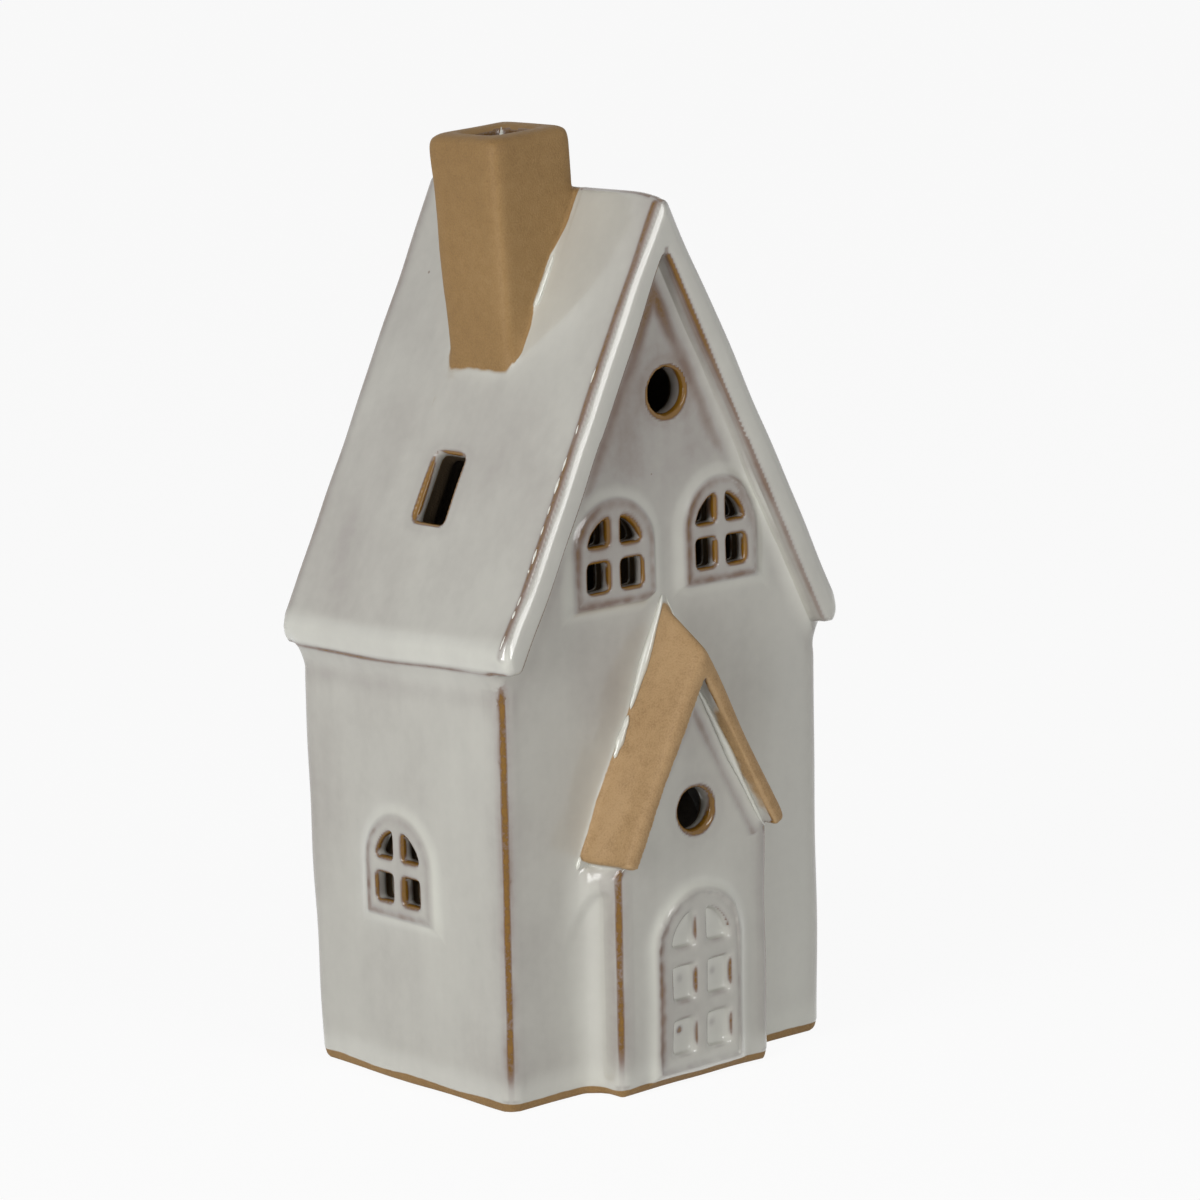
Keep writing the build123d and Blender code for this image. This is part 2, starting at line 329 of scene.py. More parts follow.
@dataclass(frozen=True)
class Stoneware:
    """Fired clay under a reactive glaze: pale where the glaze is thick, brown where an edge breaks through it."""

    name: str
    thick: Colour = (0.655, 0.655, 0.585)
    body: Colour = (0.490, 0.478, 0.432)
    thin: Colour = (0.385, 0.360, 0.330)
    violet: Colour = (0.215, 0.155, 0.125)
    brown: Colour = (0.165, 0.078, 0.010)
    ochre: Colour = (0.215, 0.102, 0.007)
    # Painted shade for the inside faces.
    indoor_shade: Colour = (0.030, 0.023, 0.015)
    clay: Colour = (0.275, 0.163, 0.060)
    clay_pale: Colour = (0.365, 0.230, 0.100)
    clay_dark: Colour = (0.175, 0.094, 0.032)
    gloss: float = 0.16
    clay_roughness: float = 0.62

    def material(self) -> bpy.types.Material:
        """Builds the finish.

        Returns:
            The material, which reads the clay's marks.
        """
        material, paint = new_material(self.name)
        edge, pool = paint.mark(Mark.EDGE), paint.mark(Mark.POOL)
        rim, bare = paint.mark(Mark.RIM), paint.mark(Mark.BARE)
        clouds = paint.noise(26, 3) - 0.5
        runs = paint.noise(9, 3, (1, 1, 0.16)) - 0.5
        mottle = paint.noise(2.2, 3) - 0.5
        patches = paint.noise(8, 2) - 0.5
        fleck = paint.noise(0.7, 2) - 0.5
        grain = paint.noise(0.35, 2) - 0.5

        halo = (rim - 0.3).fade(0.0, 0.9) * (1 - rim.fade(0.9, 3.8))
        ragged = edge.fade(0.3, 0.75) * (0.8 * fleck + 0.6 * mottle)
        # Glaze thinned at edges, together with the painted shade that the edge mark carries.
        thin_and_shade = edge * (1 + 0.8 * patches) + ragged
        depth = 0.62 + 0.26 * clouds + 0.20 * runs + 0.08 * mottle
        depth = depth + 0.36 * pool + 0.2 * halo - 0.66 * thin_and_shade
        glazed = paint.ramp(
            depth,
            [
                (0.0, self.ochre),
                (0.14, self.brown),
                (0.30, self.violet),
                (0.46, self.thin),
                (0.62, self.body),
                (1.0, self.thick),
            ],
        )
        iron = paint.specks(9.0, 0.05)
        glazed = paint.blend(iron * 0.7, glazed, self.violet)

        worn = 0.5 + 0.55 * grain + 0.35 * mottle + 0.5 * clouds
        fired = paint.ramp(worn, [(0.1, self.clay_dark), (0.5, self.clay), (0.95, self.clay_pale)])
        # Painted highlight: the bare clay is paler along its arrises.
        fired = paint.blend(edge.fade(0.35, 0.9) * 0.45, fired, self.clay_pale)
        fired = paint.blend(paint.specks(3.2, 0.07) * 0.5, fired, self.clay_dark)

        share = (bare + 0.5 * (paint.noise(5, 2) - 0.5)).fade(-0.14, 0.14)
        colour = paint.blend(share, glazed, fired)
        # Painted shade: the faces of the light chamber, the porch bay, the panes' reveals and the skylight's shaft go
        # near black, and lose their coat.
        indoors = paint.mark(Mark.INDOORS).fade(0.3, 1.0)
        colour = paint.blend(indoors * 0.9, colour, self.indoor_shade)
        dull = share.most(indoors)
        roughness = self.gloss + 0.08 * mottle + dull * (self.clay_roughness - self.gloss + 0.25 * grain)
        relief = paint.bump(clouds * 0.5 + runs * 0.4 + 0.5, 0.10)
        relief = paint.bump(share * (grain + 0.5 * mottle), 0.10, relief)
        paint.surface(
            {
                "Base Color": colour,
                "Roughness": roughness,
                "Coat Weight": (1 - share) * (1 - indoors) * (0.2 + 0.8 * pool.fade(0.0, 0.3)),
                "Coat Roughness": 0.05,
                "Coat IOR": 1.5,
                "Specular IOR Level": 0.35,
                "Normal": relief,
            }
        )
        return material


@dataclass(frozen=True)
class Foil:
    """Pressed aluminium, drawn upwards and a little scuffed."""

    name: str = "cup_foil"
    bright: Colour = (0.86, 0.862, 0.868)
    dull: Colour = (0.66, 0.665, 0.675)
    roughness: float = 0.26

    def material(self) -> bpy.types.Material:
        """Builds the finish."""
        material, paint = new_material(self.name)
        drawn = paint.noise(0.5, 3, (1, 1, 0.07)) - 0.5
        clouds = paint.noise(7, 2) - 0.5
        scuffs = paint.specks(1.8, 0.16)
        colour = paint.ramp(0.5 + 0.9 * drawn + 0.7 * clouds, [(0.2, self.dull), (0.8, self.bright)])
        relief = paint.bump(drawn + 0.4 * clouds + 0.5 * scuffs, 0.025)
        roughness = self.roughness + 0.18 * drawn + 0.15 * clouds + 0.12 * scuffs
        paint.surface({"Base Color": colour, "Roughness": roughness, "Metallic": 1.0, "Normal": relief})
        return material


@dataclass(frozen=True)
class Paraffin:
    """White wax with the frosted clouds that it sets with."""

    name: str = "white_wax"
    cloudy: Colour = (0.84, 0.825, 0.78)
    clear: Colour = (0.74, 0.705, 0.62)
    roughness: float = 0.44

    def material(self) -> bpy.types.Material:
        """Builds the finish."""
        material, paint = new_material(self.name)
        clouds = paint.noise(7, 3) - 0.5
        frost = paint.noise(0.9, 3) - 0.5
        colour = paint.ramp(0.55 + 0.9 * clouds + 0.5 * frost, [(0.15, self.clear), (0.8, self.cloudy)])
        relief = paint.bump(frost, 0.03, paint.bump(clouds, 0.25))
        paint.surface(
            {
                "Base Color": colour,
                "Roughness": self.roughness + 0.3 * frost,
                "Subsurface Weight": 0.25,
                "Subsurface Radius": (1.0, 0.75, 0.5),
                "Subsurface Scale": 0.002,
                "Normal": relief,
            }
        )
        return material


@dataclass(frozen=True)
class Cotton:
    """Waxed cotton yarn."""

    name: str = "wick_cotton"
    yarn: Colour = (0.80, 0.765, 0.665)
    hollow: Colour = (0.52, 0.455, 0.345)

    def material(self) -> bpy.types.Material:
        """Builds the finish."""
        material, paint = new_material(self.name)
        fibre = paint.noise(0.2, 3, (1, 1, 0.25)) - 0.5
        waxed = paint.noise(2.4, 2) - 0.5
        colour = paint.ramp(0.55 + 1.1 * fibre + 0.6 * waxed, [(0.15, self.hollow), (0.75, self.yarn)])
        relief = paint.bump(fibre, 0.08)
        paint.surface({"Base Color": colour, "Roughness": 0.72 + 0.35 * waxed + 0.2 * fibre, "Normal": relief})
        return material


@dataclass(frozen=True)
class TinnedSteel:
    """Thin tinned steel with rolling marks and grey stains."""

    name: str = "tinned_steel"
    bright: Colour = (0.66, 0.655, 0.64)
    stain: Colour = (0.40, 0.395, 0.38)
    roughness: float = 0.34

    def material(self) -> bpy.types.Material:
        """Builds the finish."""
        material, paint = new_material(self.name)
        rolled = paint.noise(0.25, 2, (1, 0.06, 1)) - 0.5
        stains = paint.noise(2.5, 3) - 0.5
        colour = paint.ramp(0.55 + 0.8 * stains + 0.6 * rolled, [(0.2, self.stain), (0.75, self.bright)])
        relief = paint.bump(rolled, 0.015)
        roughness = self.roughness + 0.2 * rolled + 0.25 * stains
        paint.surface({"Base Color": colour, "Roughness": roughness, "Metallic": 1.0, "Normal": relief})
        return material


# ---------------------------------------------------------------------------------------------------- meshes


def place(name: str, mesh: bpy.types.Mesh) -> bpy.types.Object:
    """Puts a mesh in the scene.

    Args:
        name: the object's name.
        mesh: its mesh.

    Returns:
        The object, at the origin.
    """
    made = bpy.data.objects.new(name, mesh)
    bpy.context.scene.collection.objects.link(made)
    return made


def solved(source: bpy.types.Object) -> bpy.types.Mesh:
    """The plain mesh that an object's modifiers give."""
    graph = bpy.context.evaluated_depsgraph_get()
    return bpy.data.meshes.new_from_object(source.evaluated_get(graph), depsgraph=graph)


def drop(source: bpy.types.Object) -> None:
    """Removes a helper object and its mesh."""
    mesh = source.data
    bpy.data.objects.remove(source)
    bpy.data.meshes.remove(mesh)


class Grower(Tree):
    """Builds a Geometry Nodes tree with named inputs, and turns what it grows into a plain mesh."""

    def __init__(self, name: str, sizes: dict[str, float | int]) -> None:
        """Starts a tree.

        Args:
            name: its name.
            sizes: the named inputs with their values; a whole number makes a whole-number input.
        """
        super().__init__(bpy.data.node_groups.new(name, "GeometryNodeTree"))
        self.sizes = sizes
        sides = self.tree.interface
        sides.new_socket("Geometry", in_out="INPUT", socket_type="NodeSocketGeometry")
        sides.new_socket("Geometry", in_out="OUTPUT", socket_type="NodeSocketGeometry")
        for key, size in sizes.items():
            sides.new_socket(
                key, in_out="INPUT", socket_type="NodeSocketInt" if isinstance(size, int) else "NodeSocketFloat"
            )
        self.inputs = self.node("NodeGroupInput").outputs

    def size(self, key: str) -> Value:
        """A named input."""
        return Value(self, self.inputs[key])

    def grow(
        self, start: bpy.types.Mesh, shape: bpy.types.NodeSocket, finish: bpy.types.Material
    ) -> bpy.types.Mesh:
        """Ends the tree and runs it.

        Args:
            start: the mesh that it starts from, which is removed afterwards.
            shape: the output that holds the grown shape.
            finish: the shape's material.

        Returns:
            The grown mesh.
        """
        smooth = self.node("GeometryNodeSetShadeSmooth", {}, {"Geometry": shape})
        real = self.node("GeometryNodeRealizeInstances", {}, {"Geometry": smooth.outputs[0]})
        dressed = self.node("GeometryNodeSetMaterial", {}, {"Geometry": real.outputs[0], "Material": finish})
        self.node("NodeGroupOutput", {}, {"Geometry": dressed.outputs[0]})
        holder = place(self.tree.name, start)
        growth = holder.modifiers.new(self.tree.name, "NODES")
        growth.node_group = self.tree
        for item in self.tree.interface.items_tree:
            if item.name in self.sizes:
                growth[item.identifier] = self.sizes[item.name]
        mesh = solved(holder)
        holder.modifiers.remove(growth)
        drop(holder)
        return mesh


def hand_over(piece: bpy.types.Object, body: Body, slot: Slot, *nodes: str) -> None:
    """Joins a finished piece to the frame.

    Args:
        piece: the piece.
        body: what it rides on.
        slot: the kind of its finish; not used.
        nodes: the solids that it stands for.
    """
    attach(piece, body.value)
    if nodes:
        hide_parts(*nodes)
    LOG.info("%s: %d faces on %s", piece.name, len(piece.data.polygons), body.value)


def read(items: Any, name: str, width: int = 1, kind: type = np.float32) -> np.ndarray:
    """Reads one property of all points, corners, edges or faces of a mesh.

    Args:
        items: the mesh's list of them.
        name: the property.
        width: how many numbers it has.
        kind: the type of these numbers.

    Returns:
        The numbers, in rows where there are several for each item.
    """
    values = np.empty(len(items) * width, kind)
    items.foreach_get(name, values)
    return values.reshape(-1, width) if width > 1 else values


def keep(mesh: bpy.types.Mesh, name: str, values: np.ndarray) -> None:
    """Keeps a number for each point of a mesh, as a named attribute."""
    layer = mesh.attributes.new(name, "FLOAT", "POINT")
    layer.data.foreach_set("value", values.astype(np.float32))


def walls_between(made: bmesh.types.BMesh, rows: list[list[bmesh.types.BMVert]]) -> list[bmesh.types.BMFace]:
    """Joins closed rows of corners, each to the next, with four-sided faces."""
    faces = []
    for below, above in zip(rows, rows[1:]):
        for i in range(len(below)):
            j = (i + 1) % len(below)
            faces.append(made.faces.new((below[i], below[j], above[j], above[i])))
    return faces


def prism(outline: list[tuple[float, float]], near: float, far: float) -> bpy.types.Object:
    """A straight block with an outline in x and z.

    Args:
        outline: the corners.
        near: its lowest y.
        far: its highest y.

    Returns:
        The block as a helper object.
    """
    block = bmesh.new()
    base = block.faces.new([block.verts.new((x, near, z)) for x, z in outline])
    grown = bmesh.ops.extrude_face_region(block, geom=[base])["geom"]
    moved = [v for v in grown if isinstance(v, bmesh.types.BMVert)]
    bmesh.ops.translate(block, verts=moved, vec=(0, far - near, 0))
    bmesh.ops.recalc_face_normals(block, faces=block.faces)
    mesh = bpy.data.meshes.new("cutter")
    block.to_mesh(mesh)
    block.free()
    return place("cutter", mesh)


@dataclass
class Skin:
    """A closed surface of four-sided faces, as arrays."""

    points: np.ndarray
    faces: np.ndarray
    edges: np.ndarray

    def __post_init__(self) -> None:
        """Counts each point's neighbours."""
        self.shared = np.bincount(self.edges.ravel(), minlength=len(self.points))

    @classmethod
    def of(cls, mesh: bpy.types.Mesh) -> "Skin":
        """Reads a mesh whose faces all have four sides."""
        points = read(mesh.vertices, "co", 3)
        faces = read(mesh.loops, "vertex_index", kind=np.int32)
        edges = read(mesh.edges, "vertices", 2, np.int32)
        return cls(points.astype(float), faces.reshape(-1, 4), edges)

    def mesh(self, name: str) -> bpy.types.Mesh:
        """The surface as a new mesh."""
        made = bpy.data.meshes.new(name)
        made.vertices.add(len(self.points))
        made.vertices.foreach_set("co", self.points.astype(np.float32).ravel())
        made.loops.add(self.faces.size)
        made.loops.foreach_set("vertex_index", self.faces.ravel())
        made.polygons.add(len(self.faces))
        made.polygons.foreach_set("loop_start", np.arange(0, self.faces.size, 4, dtype=np.int32))
        made.update(calc_edges=True)
        return made

    def normals(self) -> np.ndarray:
        """The outward direction at each point."""
        corner = self.points[self.faces]
        across = np.cross(corner[:, 2] - corner[:, 0], corner[:, 3] - corner[:, 1])
        total = np.stack(
            [sum(np.bincount(self.faces[:, i], across[:, k], len(self.points)) for i in range(4)) for k in range(3)], 1
        )
        return total / np.maximum(np.linalg.norm(total, axis=1, keepdims=True), 1e-12)

    def around(self, values: np.ndarray) -> np.ndarray:
        """The mean of each point's neighbours.

        Args:
            values: one row for each point.

        Returns:
            The means, in the same form.
        """
        first, second = self.edges.T
        count = len(values)
        rows = values.reshape(count, -1)
        total = [np.bincount(first, r[second], count) + np.bincount(second, r[first], count) for r in rows.T]
        return (np.stack(total, 1) / self.shared[:, None]).reshape(values.shape)

    def relaxed(self, values: np.ndarray, rounds: int, share: float = 0.5) -> np.ndarray:
        """Evens out values over the surface.

        Args:
            values: one row for each point.
            rounds: how often each point moves towards its neighbours.
            share: how far it moves each time.

        Returns:
            The evened values.
        """
        for _ in range(rounds):
            values = values + share * (self.around(values) - values)
        return values


class Origin:
    """Finds the point of a surface that a point of a piece cut from it comes from."""

    STEP = 1 / 4096
    HALF = 256.0

    def __init__(self, points: np.ndarray) -> None:
        """Sorts the surface's points."""
        keys = self.keys(points)
        self.order = np.argsort(keys)
        self.sorted = keys[self.order]
        self.tree = KDTree(len(points))
        for i, point in enumerate(points):
            self.tree.insert(point, i)
        self.tree.balance()

    def keys(self, points: np.ndarray) -> np.ndarray:
        """One whole number for each place."""
        steps = np.rint((points.astype(np.float32).astype(float) + self.HALF) / self.STEP).astype(np.int64)
        return (steps[:, 0] << 42) | (steps[:, 1] << 21) | steps[:, 2]

    def find(self, points: np.ndarray) -> tuple[np.ndarray, np.ndarray]:
        """Finds points again.

        Args:
            points: the piece's points.

        Returns:
            The number of each one's source, and whether the cut made the point.
        """
        keys = self.keys(points)
        at = np.minimum(np.searchsorted(self.sorted, keys), len(self.sorted) - 1)
        source = self.order[at]
        new = self.sorted[at] != keys
        source[new] = [self.tree.find(p)[1] for p in points[new]]
        return source, new


def smooth_step(values: np.ndarray, low: float, high: float) -> np.ndarray:
    """A smooth step from 0 at low to 1 at high."""
    t = np.clip((values - low) / (high - low), 0, 1)
    return t * t * (3 - 2 * t)


class Face(Enum):
    """The faces with arched openings: the axis along the face, the axis out of it, its side and its distance."""

    FRONT = (0, 1, -1, 30.0)
    LEFT = (1, 0, -1, 40.0)
    PORCH = (0, 1, -1, 37.9)


@dataclass(frozen=True)
class Arch:
    """The outline of a raised arched panel, round which the glaze gathers."""

    face: Face
    centre: float
    sill: float
    width: float
    height: float
    border: float = 2.0
    relief: float = 1.0
    depth: float = 3.0
    reach: float = 6.0

    def distance(self, points: np.ndarray) -> np.ndarray:
        """How far points of the face lie outside the outline.

        Args:
            points: points on the clay.

        Returns:
            Distances, negative inside the outline, and reach away from this face.
        """
        along, out, side, offset = self.face.value
        radius = self.width / 2
        u, v = points[:, along] - self.centre, points[:, 2] - self.sill
        spring = self.height - radius
        found = np.where(v > spring, np.hypot(u, v - spring) - radius, np.maximum(np.abs(u) - radius, -v))
        near = np.abs(side * points[:, out] - offset) < self.depth
        return np.where(near, np.minimum(found, self.reach), self.reach)

    def heading(self, points: np.ndarray) -> tuple[np.ndarray, np.ndarray]:
        """Which way is out of the outline.

        Args:
            points: points on the clay.

        Returns:
            How far that is to the left of the face, and how far up, each from -1 to 1.
        """
        u, v = points[:, self.face.value[0]] - self.centre, points[:, 2] - self.sill
        radius = self.width / 2
        rise = v - (self.height - radius)
        away = np.maximum(np.hypot(u, rise), 0.1)
        below = -v > np.abs(u) - radius
        across = np.where(rise > 0, u / away, np.where(below, 0, np.sign(u)))
        return across if self.face is Face.LEFT else -across, np.where(rise > 0, rise / away, np.where(below, -1, 0))


@dataclass
class ClayHouse:
    """All clay parts of the house, which firing has joined."""

    nodes: dict[str, bpy.types.Object]
    grain: float = 0.5
    half_width: float = 40.0
    half_depth: float = 30.0
    wall: float = 4.5
    wall_height: float = 84.0
    eave_x: float = 43.2
    eave_seat_x: float = 38.7
    eave_height: float = 87.2
    ridge_height: float = 172.8
    floor_height: float = 5.0
    chimney_front: float = -10.1
    chimney_back: float = 8.5
    porch_half_width: float = 19.35
    porch_depth: float = 7.9
    porch_panel: float = 4.0
    porch_peak: float = 78.7
    porch_shoulder: float = 44.5
    chimney_foot: float = 136.7
    chimney_top: float = 183.0
    chimney_x: float = -11.3
    flue_y: float = -0.8
    flue_half_width: float = 5.1
    flue_half_depth: float = 4.7
    window_drift: tuple[tuple[float, ...], tuple[float, ...]] = (
        (-27, -22, -3, 1, 4, 5.8, 24.8, 30),
        (0, 0.05, 0.5, 0, 0, 0.3, -1.0, 0),
    )
    window_lift: float = 0.95
    side_window_lift: float = 1.2
    vent_drift: float = 0.45
    door_drift: float = 0.5
    bow_foot: float = -0.5
    bow_rise: float = 1.6
    left_spread: float = -0.35
    right_spread: float = 0.8
    eave_lift: float = 1.7
    ridge_drop: float = 1.3
    hood_lift: tuple[tuple[float, ...], tuple[float, ...]] = (
        (-22, -14, -6, 0, 6, 14),
        (-1.6, -0.6, 0.9, 1.9, 1.6, 1.4),
    )
    hood_drift: float = -1.5
    stack_spread: float = 0.9
    lean: float = 0.35
    flare: float = 0.118
    tilt: float = 0.085
    hood_length: float = 36.86
    hood_back: float = 92.7
    hood_front: float = 84.4
    hood_reach: float = 12.3
    hood_eave_x: float = 20.67
    hood_eave_z: float = 48.05
    skylight_y: float = -0.8
    skylight_z: float = 115.8
    skylight_half_width: float = 4.5
    skylight_half_length: float = 7.1
    drip_x: float = 42.1
    drip_z: float = 83.9
    foot: float = 1.8
    tuck_height: float = 2.6
    tuck_depth: float = 0.6
    corner: float = 2.5
    cheek_fillet: float = 4.0
    left_cove: float = 1.8
    right_cove: float = 2.6
    vents: tuple[tuple[float, float, float, float], ...] = ((2.2, -30.0, 133.5, 4.6), (0.6, -37.9, 53.6, 4.3))
    door_spots: tuple[tuple[float, float, float, float], ...] = (
        (-5.0, 10.6, 1.3, 0.95),
        (3.6, 10.4, 1.4, 0.45),
        (-4.8, 20.9, 1.4, 0.36),
        (3.7, 20.7, 1.3, 0.42),
    )
    soften_rounds: int = 2
    bevel: float = 0.8
    bevel_angle: float = 66.0
    verge_front: float = 35.5
    verge_back: float = 33.0
    round_rounds: int = 30
    pool_rounds: int = 36
    wobble: float = 0.12
    glaze_depth: float = 0.22
    pane_glaze: float = 0.26
    seam: float = 0.6
    chimney_seam: float = 1.0
    inner_seam: float = 1.0
    porch_seam: float = 0.8
    far: float = 300.0
    arches: list[Arch] = field(
        default_factory=lambda: [
            Arch(Face.FRONT, -12.5, 94.6, 19.0, 19.8),
            Arch(Face.FRONT, 15.3, 94.6, 19.0, 19.8, 2.9),
            Arch(Face.LEFT, 1.0, 32.2, 19.0, 19.8, 2.6),
            Arch(Face.PORCH, -0.2, 2.8, 20.8, 34.7),
        ]
    )

    def __post_init__(self) -> None:
        """Works out the roofs' pitches from the sizes."""
        self.pitch = (self.ridge_height - self.eave_height) / self.eave_x
        self.slope = math.hypot(1, self.pitch)
        self.under_ridge = self.wall_height + self.pitch * self.eave_seat_x
        self.porch_pitch = (self.porch_peak - self.porch_shoulder) / self.porch_half_width
        self.porch_slope = math.hypot(1, self.porch_pitch)

    def build(self, glaze: bpy.types.Material, stack: bpy.types.Material, hood: bpy.types.Material) -> None:
        """Makes every clay piece.

        Args:
            glaze: the finish of the glazed parts.
            stack: the finish of the chimney.
            hood: the finish of the porch roof.
        """
        skin = self.skin = self.fired()
        marks = self.marks(skin)
        skin.points = self.settled(skin.points)
        normals = self.normals = skin.normals()
        whole = place("fired", skin.mesh("fired"))
        origin = self.origin = Origin(skin.points)
        finishes = {"chimney": (stack, Slot.BARE_CLAY), "porch_roof": (hood, Slot.BARE_CLAY)}
        finishes["floor_slab"] = (glaze, Slot.BARE_CLAY)
        for name, (outline, near, far) in self.cells().items():
            mesh = self.cut(whole, prism(outline, near, far))
            self.dress(mesh, origin, marks, normals)
            finish, slot = finishes.get(name, (glaze, Slot.GLAZE))
            mesh.materials.clear()
            mesh.materials.append(finish)
            mesh.name = f"{name}_fired"
            hand_over(place(f"{name}_fired", mesh), Body.HOUSE, slot, name)
        drop(whole)

    def seat(self, point: np.ndarray, lift: float) -> np.ndarray:
        """The place on the fired clay that is nearest to a point.

        Args:
            point: the point.
            lift: how far the place stands off the clay.

        Returns:
            The place.
        """
        nearest = self.origin.tree.find(point)[1]
        return self.skin.points[nearest] + self.normals[nearest] * lift

    def fired(self) -> Skin:
        """The merged clay, softened as the fired and glazed surface is.

        Returns:
            Its skin.
        """
        merged = bmesh.new()
        for name in self.cells():
            merged.from_mesh(self.nodes[name].data)
        bmesh.ops.remove_doubles(merged, verts=merged.verts, dist=1e-7)
        bmesh.ops.scale(merged, vec=(1 / METRES,) * 3, verts=merged.verts)
        self.fillets(merged)
        mesh = bpy.data.meshes.new("clay")
        merged.to_mesh(mesh)
        merged.free()
        lump = place("clay", mesh)
        remesh = lump.modifiers.new("grain", "REMESH")
        remesh.mode = "VOXEL"
        remesh.voxel_size = self.grain
        skin = Skin.of(solved(lump))
        drop(lump)

        skin.points = skin.relaxed(skin.points, self.soften_rounds)
        skin.points = self.bevelled(self.tucked(skin.points))
        worn = 0.5 * self.rounded(skin.points)[:, None]
        for _ in range(self.round_rounds):
            skin.points += worn * (skin.around(skin.points) - skin.points)
        normals = skin.normals()
        skin.points += normals * (self.wobble * self.waves(skin.points) * self.outside(skin.points))[:, None]
        glazed = smooth_step(-self.bare(skin.points), -0.3, 0.4)
        reveal = (self.off_panel(skin.points) < -0.9) * glazed
        reveal *= 1 - smooth_step(np.abs(self.facing(skin.points, normals)), 0.3, 0.8)
        skin.points += normals * (self.glaze_depth * glazed + self.pane_glaze * reveal)[:, None]
        share = self.gathering(skin.points)
        for turn in range(self.pool_rounds):
            if turn % 6 == 0:
                normals = skin.normals()
            rise = ((skin.around(skin.points) - skin.points) * normals).sum(1)
            skin.points += normals * (np.maximum(rise, 0) * share)[:, None]
        skin.points = skin.relaxed(self.bordered(skin.points), 1)
        skin.points[:, 2] = np.maximum(skin.points[:, 2], 0)
        return skin

    def fillets(self, clay: bmesh.types.BMesh) -> None:
        """Fills the corners between the porch's cheeks and the wall with a hollow round.

        Args:
            clay: the merged clay, in millimetres.
        """
        size, top = self.cheek_fillet, self.porch_shoulder + 1.0
        for side in (-1, 1):
            outline = [(self.porch_half_width - 0.5, 0.5), (self.porch_half_width + size, 0.5)]
            for turn in np.linspace(0, np.pi / 2, 9):
                outline.append(
                    (self.porch_half_width + size - size * math.sin(turn), -size + size * math.cos(turn))
                )
            outline.append((self.porch_half_width - 0.5, -size))
            low = [clay.verts.new((side * x, y - self.half_depth, 0)) for x, y in outline]
            high = [clay.verts.new((side * x, y - self.half_depth, top)) for x, y in outline]
            faces = [clay.faces.new(low), clay.faces.new(high), *walls_between(clay, [low, high])]
            bmesh.ops.recalc_face_normals(clay, faces=faces)
            self.cove(clay, side)

    def cove(self, clay: bmesh.types.BMesh, side: int) -> None:
        """Fills the corner under an eave with a hollow round, below a lip that the glaze drips from.

        Args:
            clay: the merged clay, in millimetres.
            side: -1 for the left eave and 1 for the right one.
        """
        rise = np.linspace(0, 1, 8)
        spread = self.left_cove if side < 0 else self.right_cove
        wide = [*(self.half_width + spread * rise**1.4), self.eave_x - 0.9 + (side > 0) * 0.5, self.eave_x - 0.3]
        high = [*(self.wall_height - 5.2 + 4.7 * rise), self.wall_height, self.wall_height + 1.6]
        turns = np.linspace(0, np.pi / 2, 7)
        straight = self.half_depth - self.corner
        layers = []
        for x, z in zip(wide, high):
            round_x, round_y = x - self.corner * (1 - np.cos(turns)), straight + self.corner * np.sin(turns)
            outline = [(self.half_width - 3, -self.half_depth), *zip(round_x[::-1], -round_y[::-1])]
            outline += [*zip(round_x, round_y), (self.half_width - 3, self.half_depth)]
            layers.append([clay.verts.new((side * a, b, z)) for a, b in outline])
        faces = [clay.faces.new(layers[0]), clay.faces.new(layers[-1]), *walls_between(clay, layers)]
        bmesh.ops.recalc_face_normals(clay, faces=faces)

    def settled(self, points: np.ndarray) -> np.ndarray:
        """Brings the walls, the openings, the hood, the chimney and the ridge's end to where firing has left them.

        Args:
            points: points on the clay.

        Returns:
            The moved points.
        """
        x, y, z = points.T
        moved = points.copy()
        wall = smooth_step(-y, 22.0, 25.0) * (y > -32.5)
        row = smooth_step(z, 88, 94) * (1 - smooth_step(z, 116, 122))
        shift = np.interp(x, *self.window_drift)
        vent_x, _, vent_z, radius = self.vents[0]
        vent = 1 - smooth_step(np.hypot(x - vent_x, z - vent_z), radius + 1.5, radius + 8)
        moved[:, 0] += wall * (row * shift + self.vent_drift * vent)
        moved[:, 2] += self.window_lift * wall * row * smooth_step(x, 2, 5.5) * (1 - smooth_step(x, 25, 30))
        door = smooth_step(-y, 36, 37) * (1 - smooth_step(z, 36, 41)) * (1 - smooth_step(np.abs(x), 11, 16))
        moved[:, 0] += (self.door_drift + 0.5 * (1 - smooth_step(np.abs(x), 8.5, 10))) * door

        soffit = self.over_soffit(points)
        roof = smooth_step(soffit, -2.0, -0.5)
        bow = self.bow_foot + self.bow_rise * np.clip(z / self.wall_height, 0, 1)
        moved[:, 1] -= bow * smooth_step(-y, 20, 26) * (1 - roof * smooth_step(-y, 31.5, 34.2))
        moved[:, 1] += 0.5 * bow * smooth_step(y, 20, 26) * (1 - roof * smooth_step(y, 30.6, 32.6))
        below = smooth_step(np.abs(x), 30, 36) * (1 - smooth_step(z, 76, 84))
        moved[:, 0] += np.where(x > 0, self.right_spread, self.left_spread) * below

        pane = (x < -33) * smooth_step(z, 24, 30) * (1 - smooth_step(z, 54, 62))
        moved[:, 2] += self.side_window_lift * pane * (1 - smooth_step(np.abs(y - 1.0), 10.5, 16))
        eave = smooth_step(-x, 30, 40) * smooth_step(z, 70, 82) * (1 - smooth_step(z, 88, 106))
        moved[:, 2] += self.eave_lift * eave * smooth_step(-y, -12, 34)

        under = self.over_porch(points)
        hood = smooth_step(under, -2.5, -0.3) * smooth_step(-y, 26, 29.5) * (1 - smooth_step(z, 94, 99))
        hood = hood * (1 - smooth_step(np.abs(x), 23, 29)) * (1 - smooth_step(under, 9, 13))
        moved[:, 2] += hood * np.interp(x, *self.hood_lift)
        moved[:, 0] += self.hood_drift * hood * smooth_step(-x, 9, 17) * smooth_step(y, -38, -32)

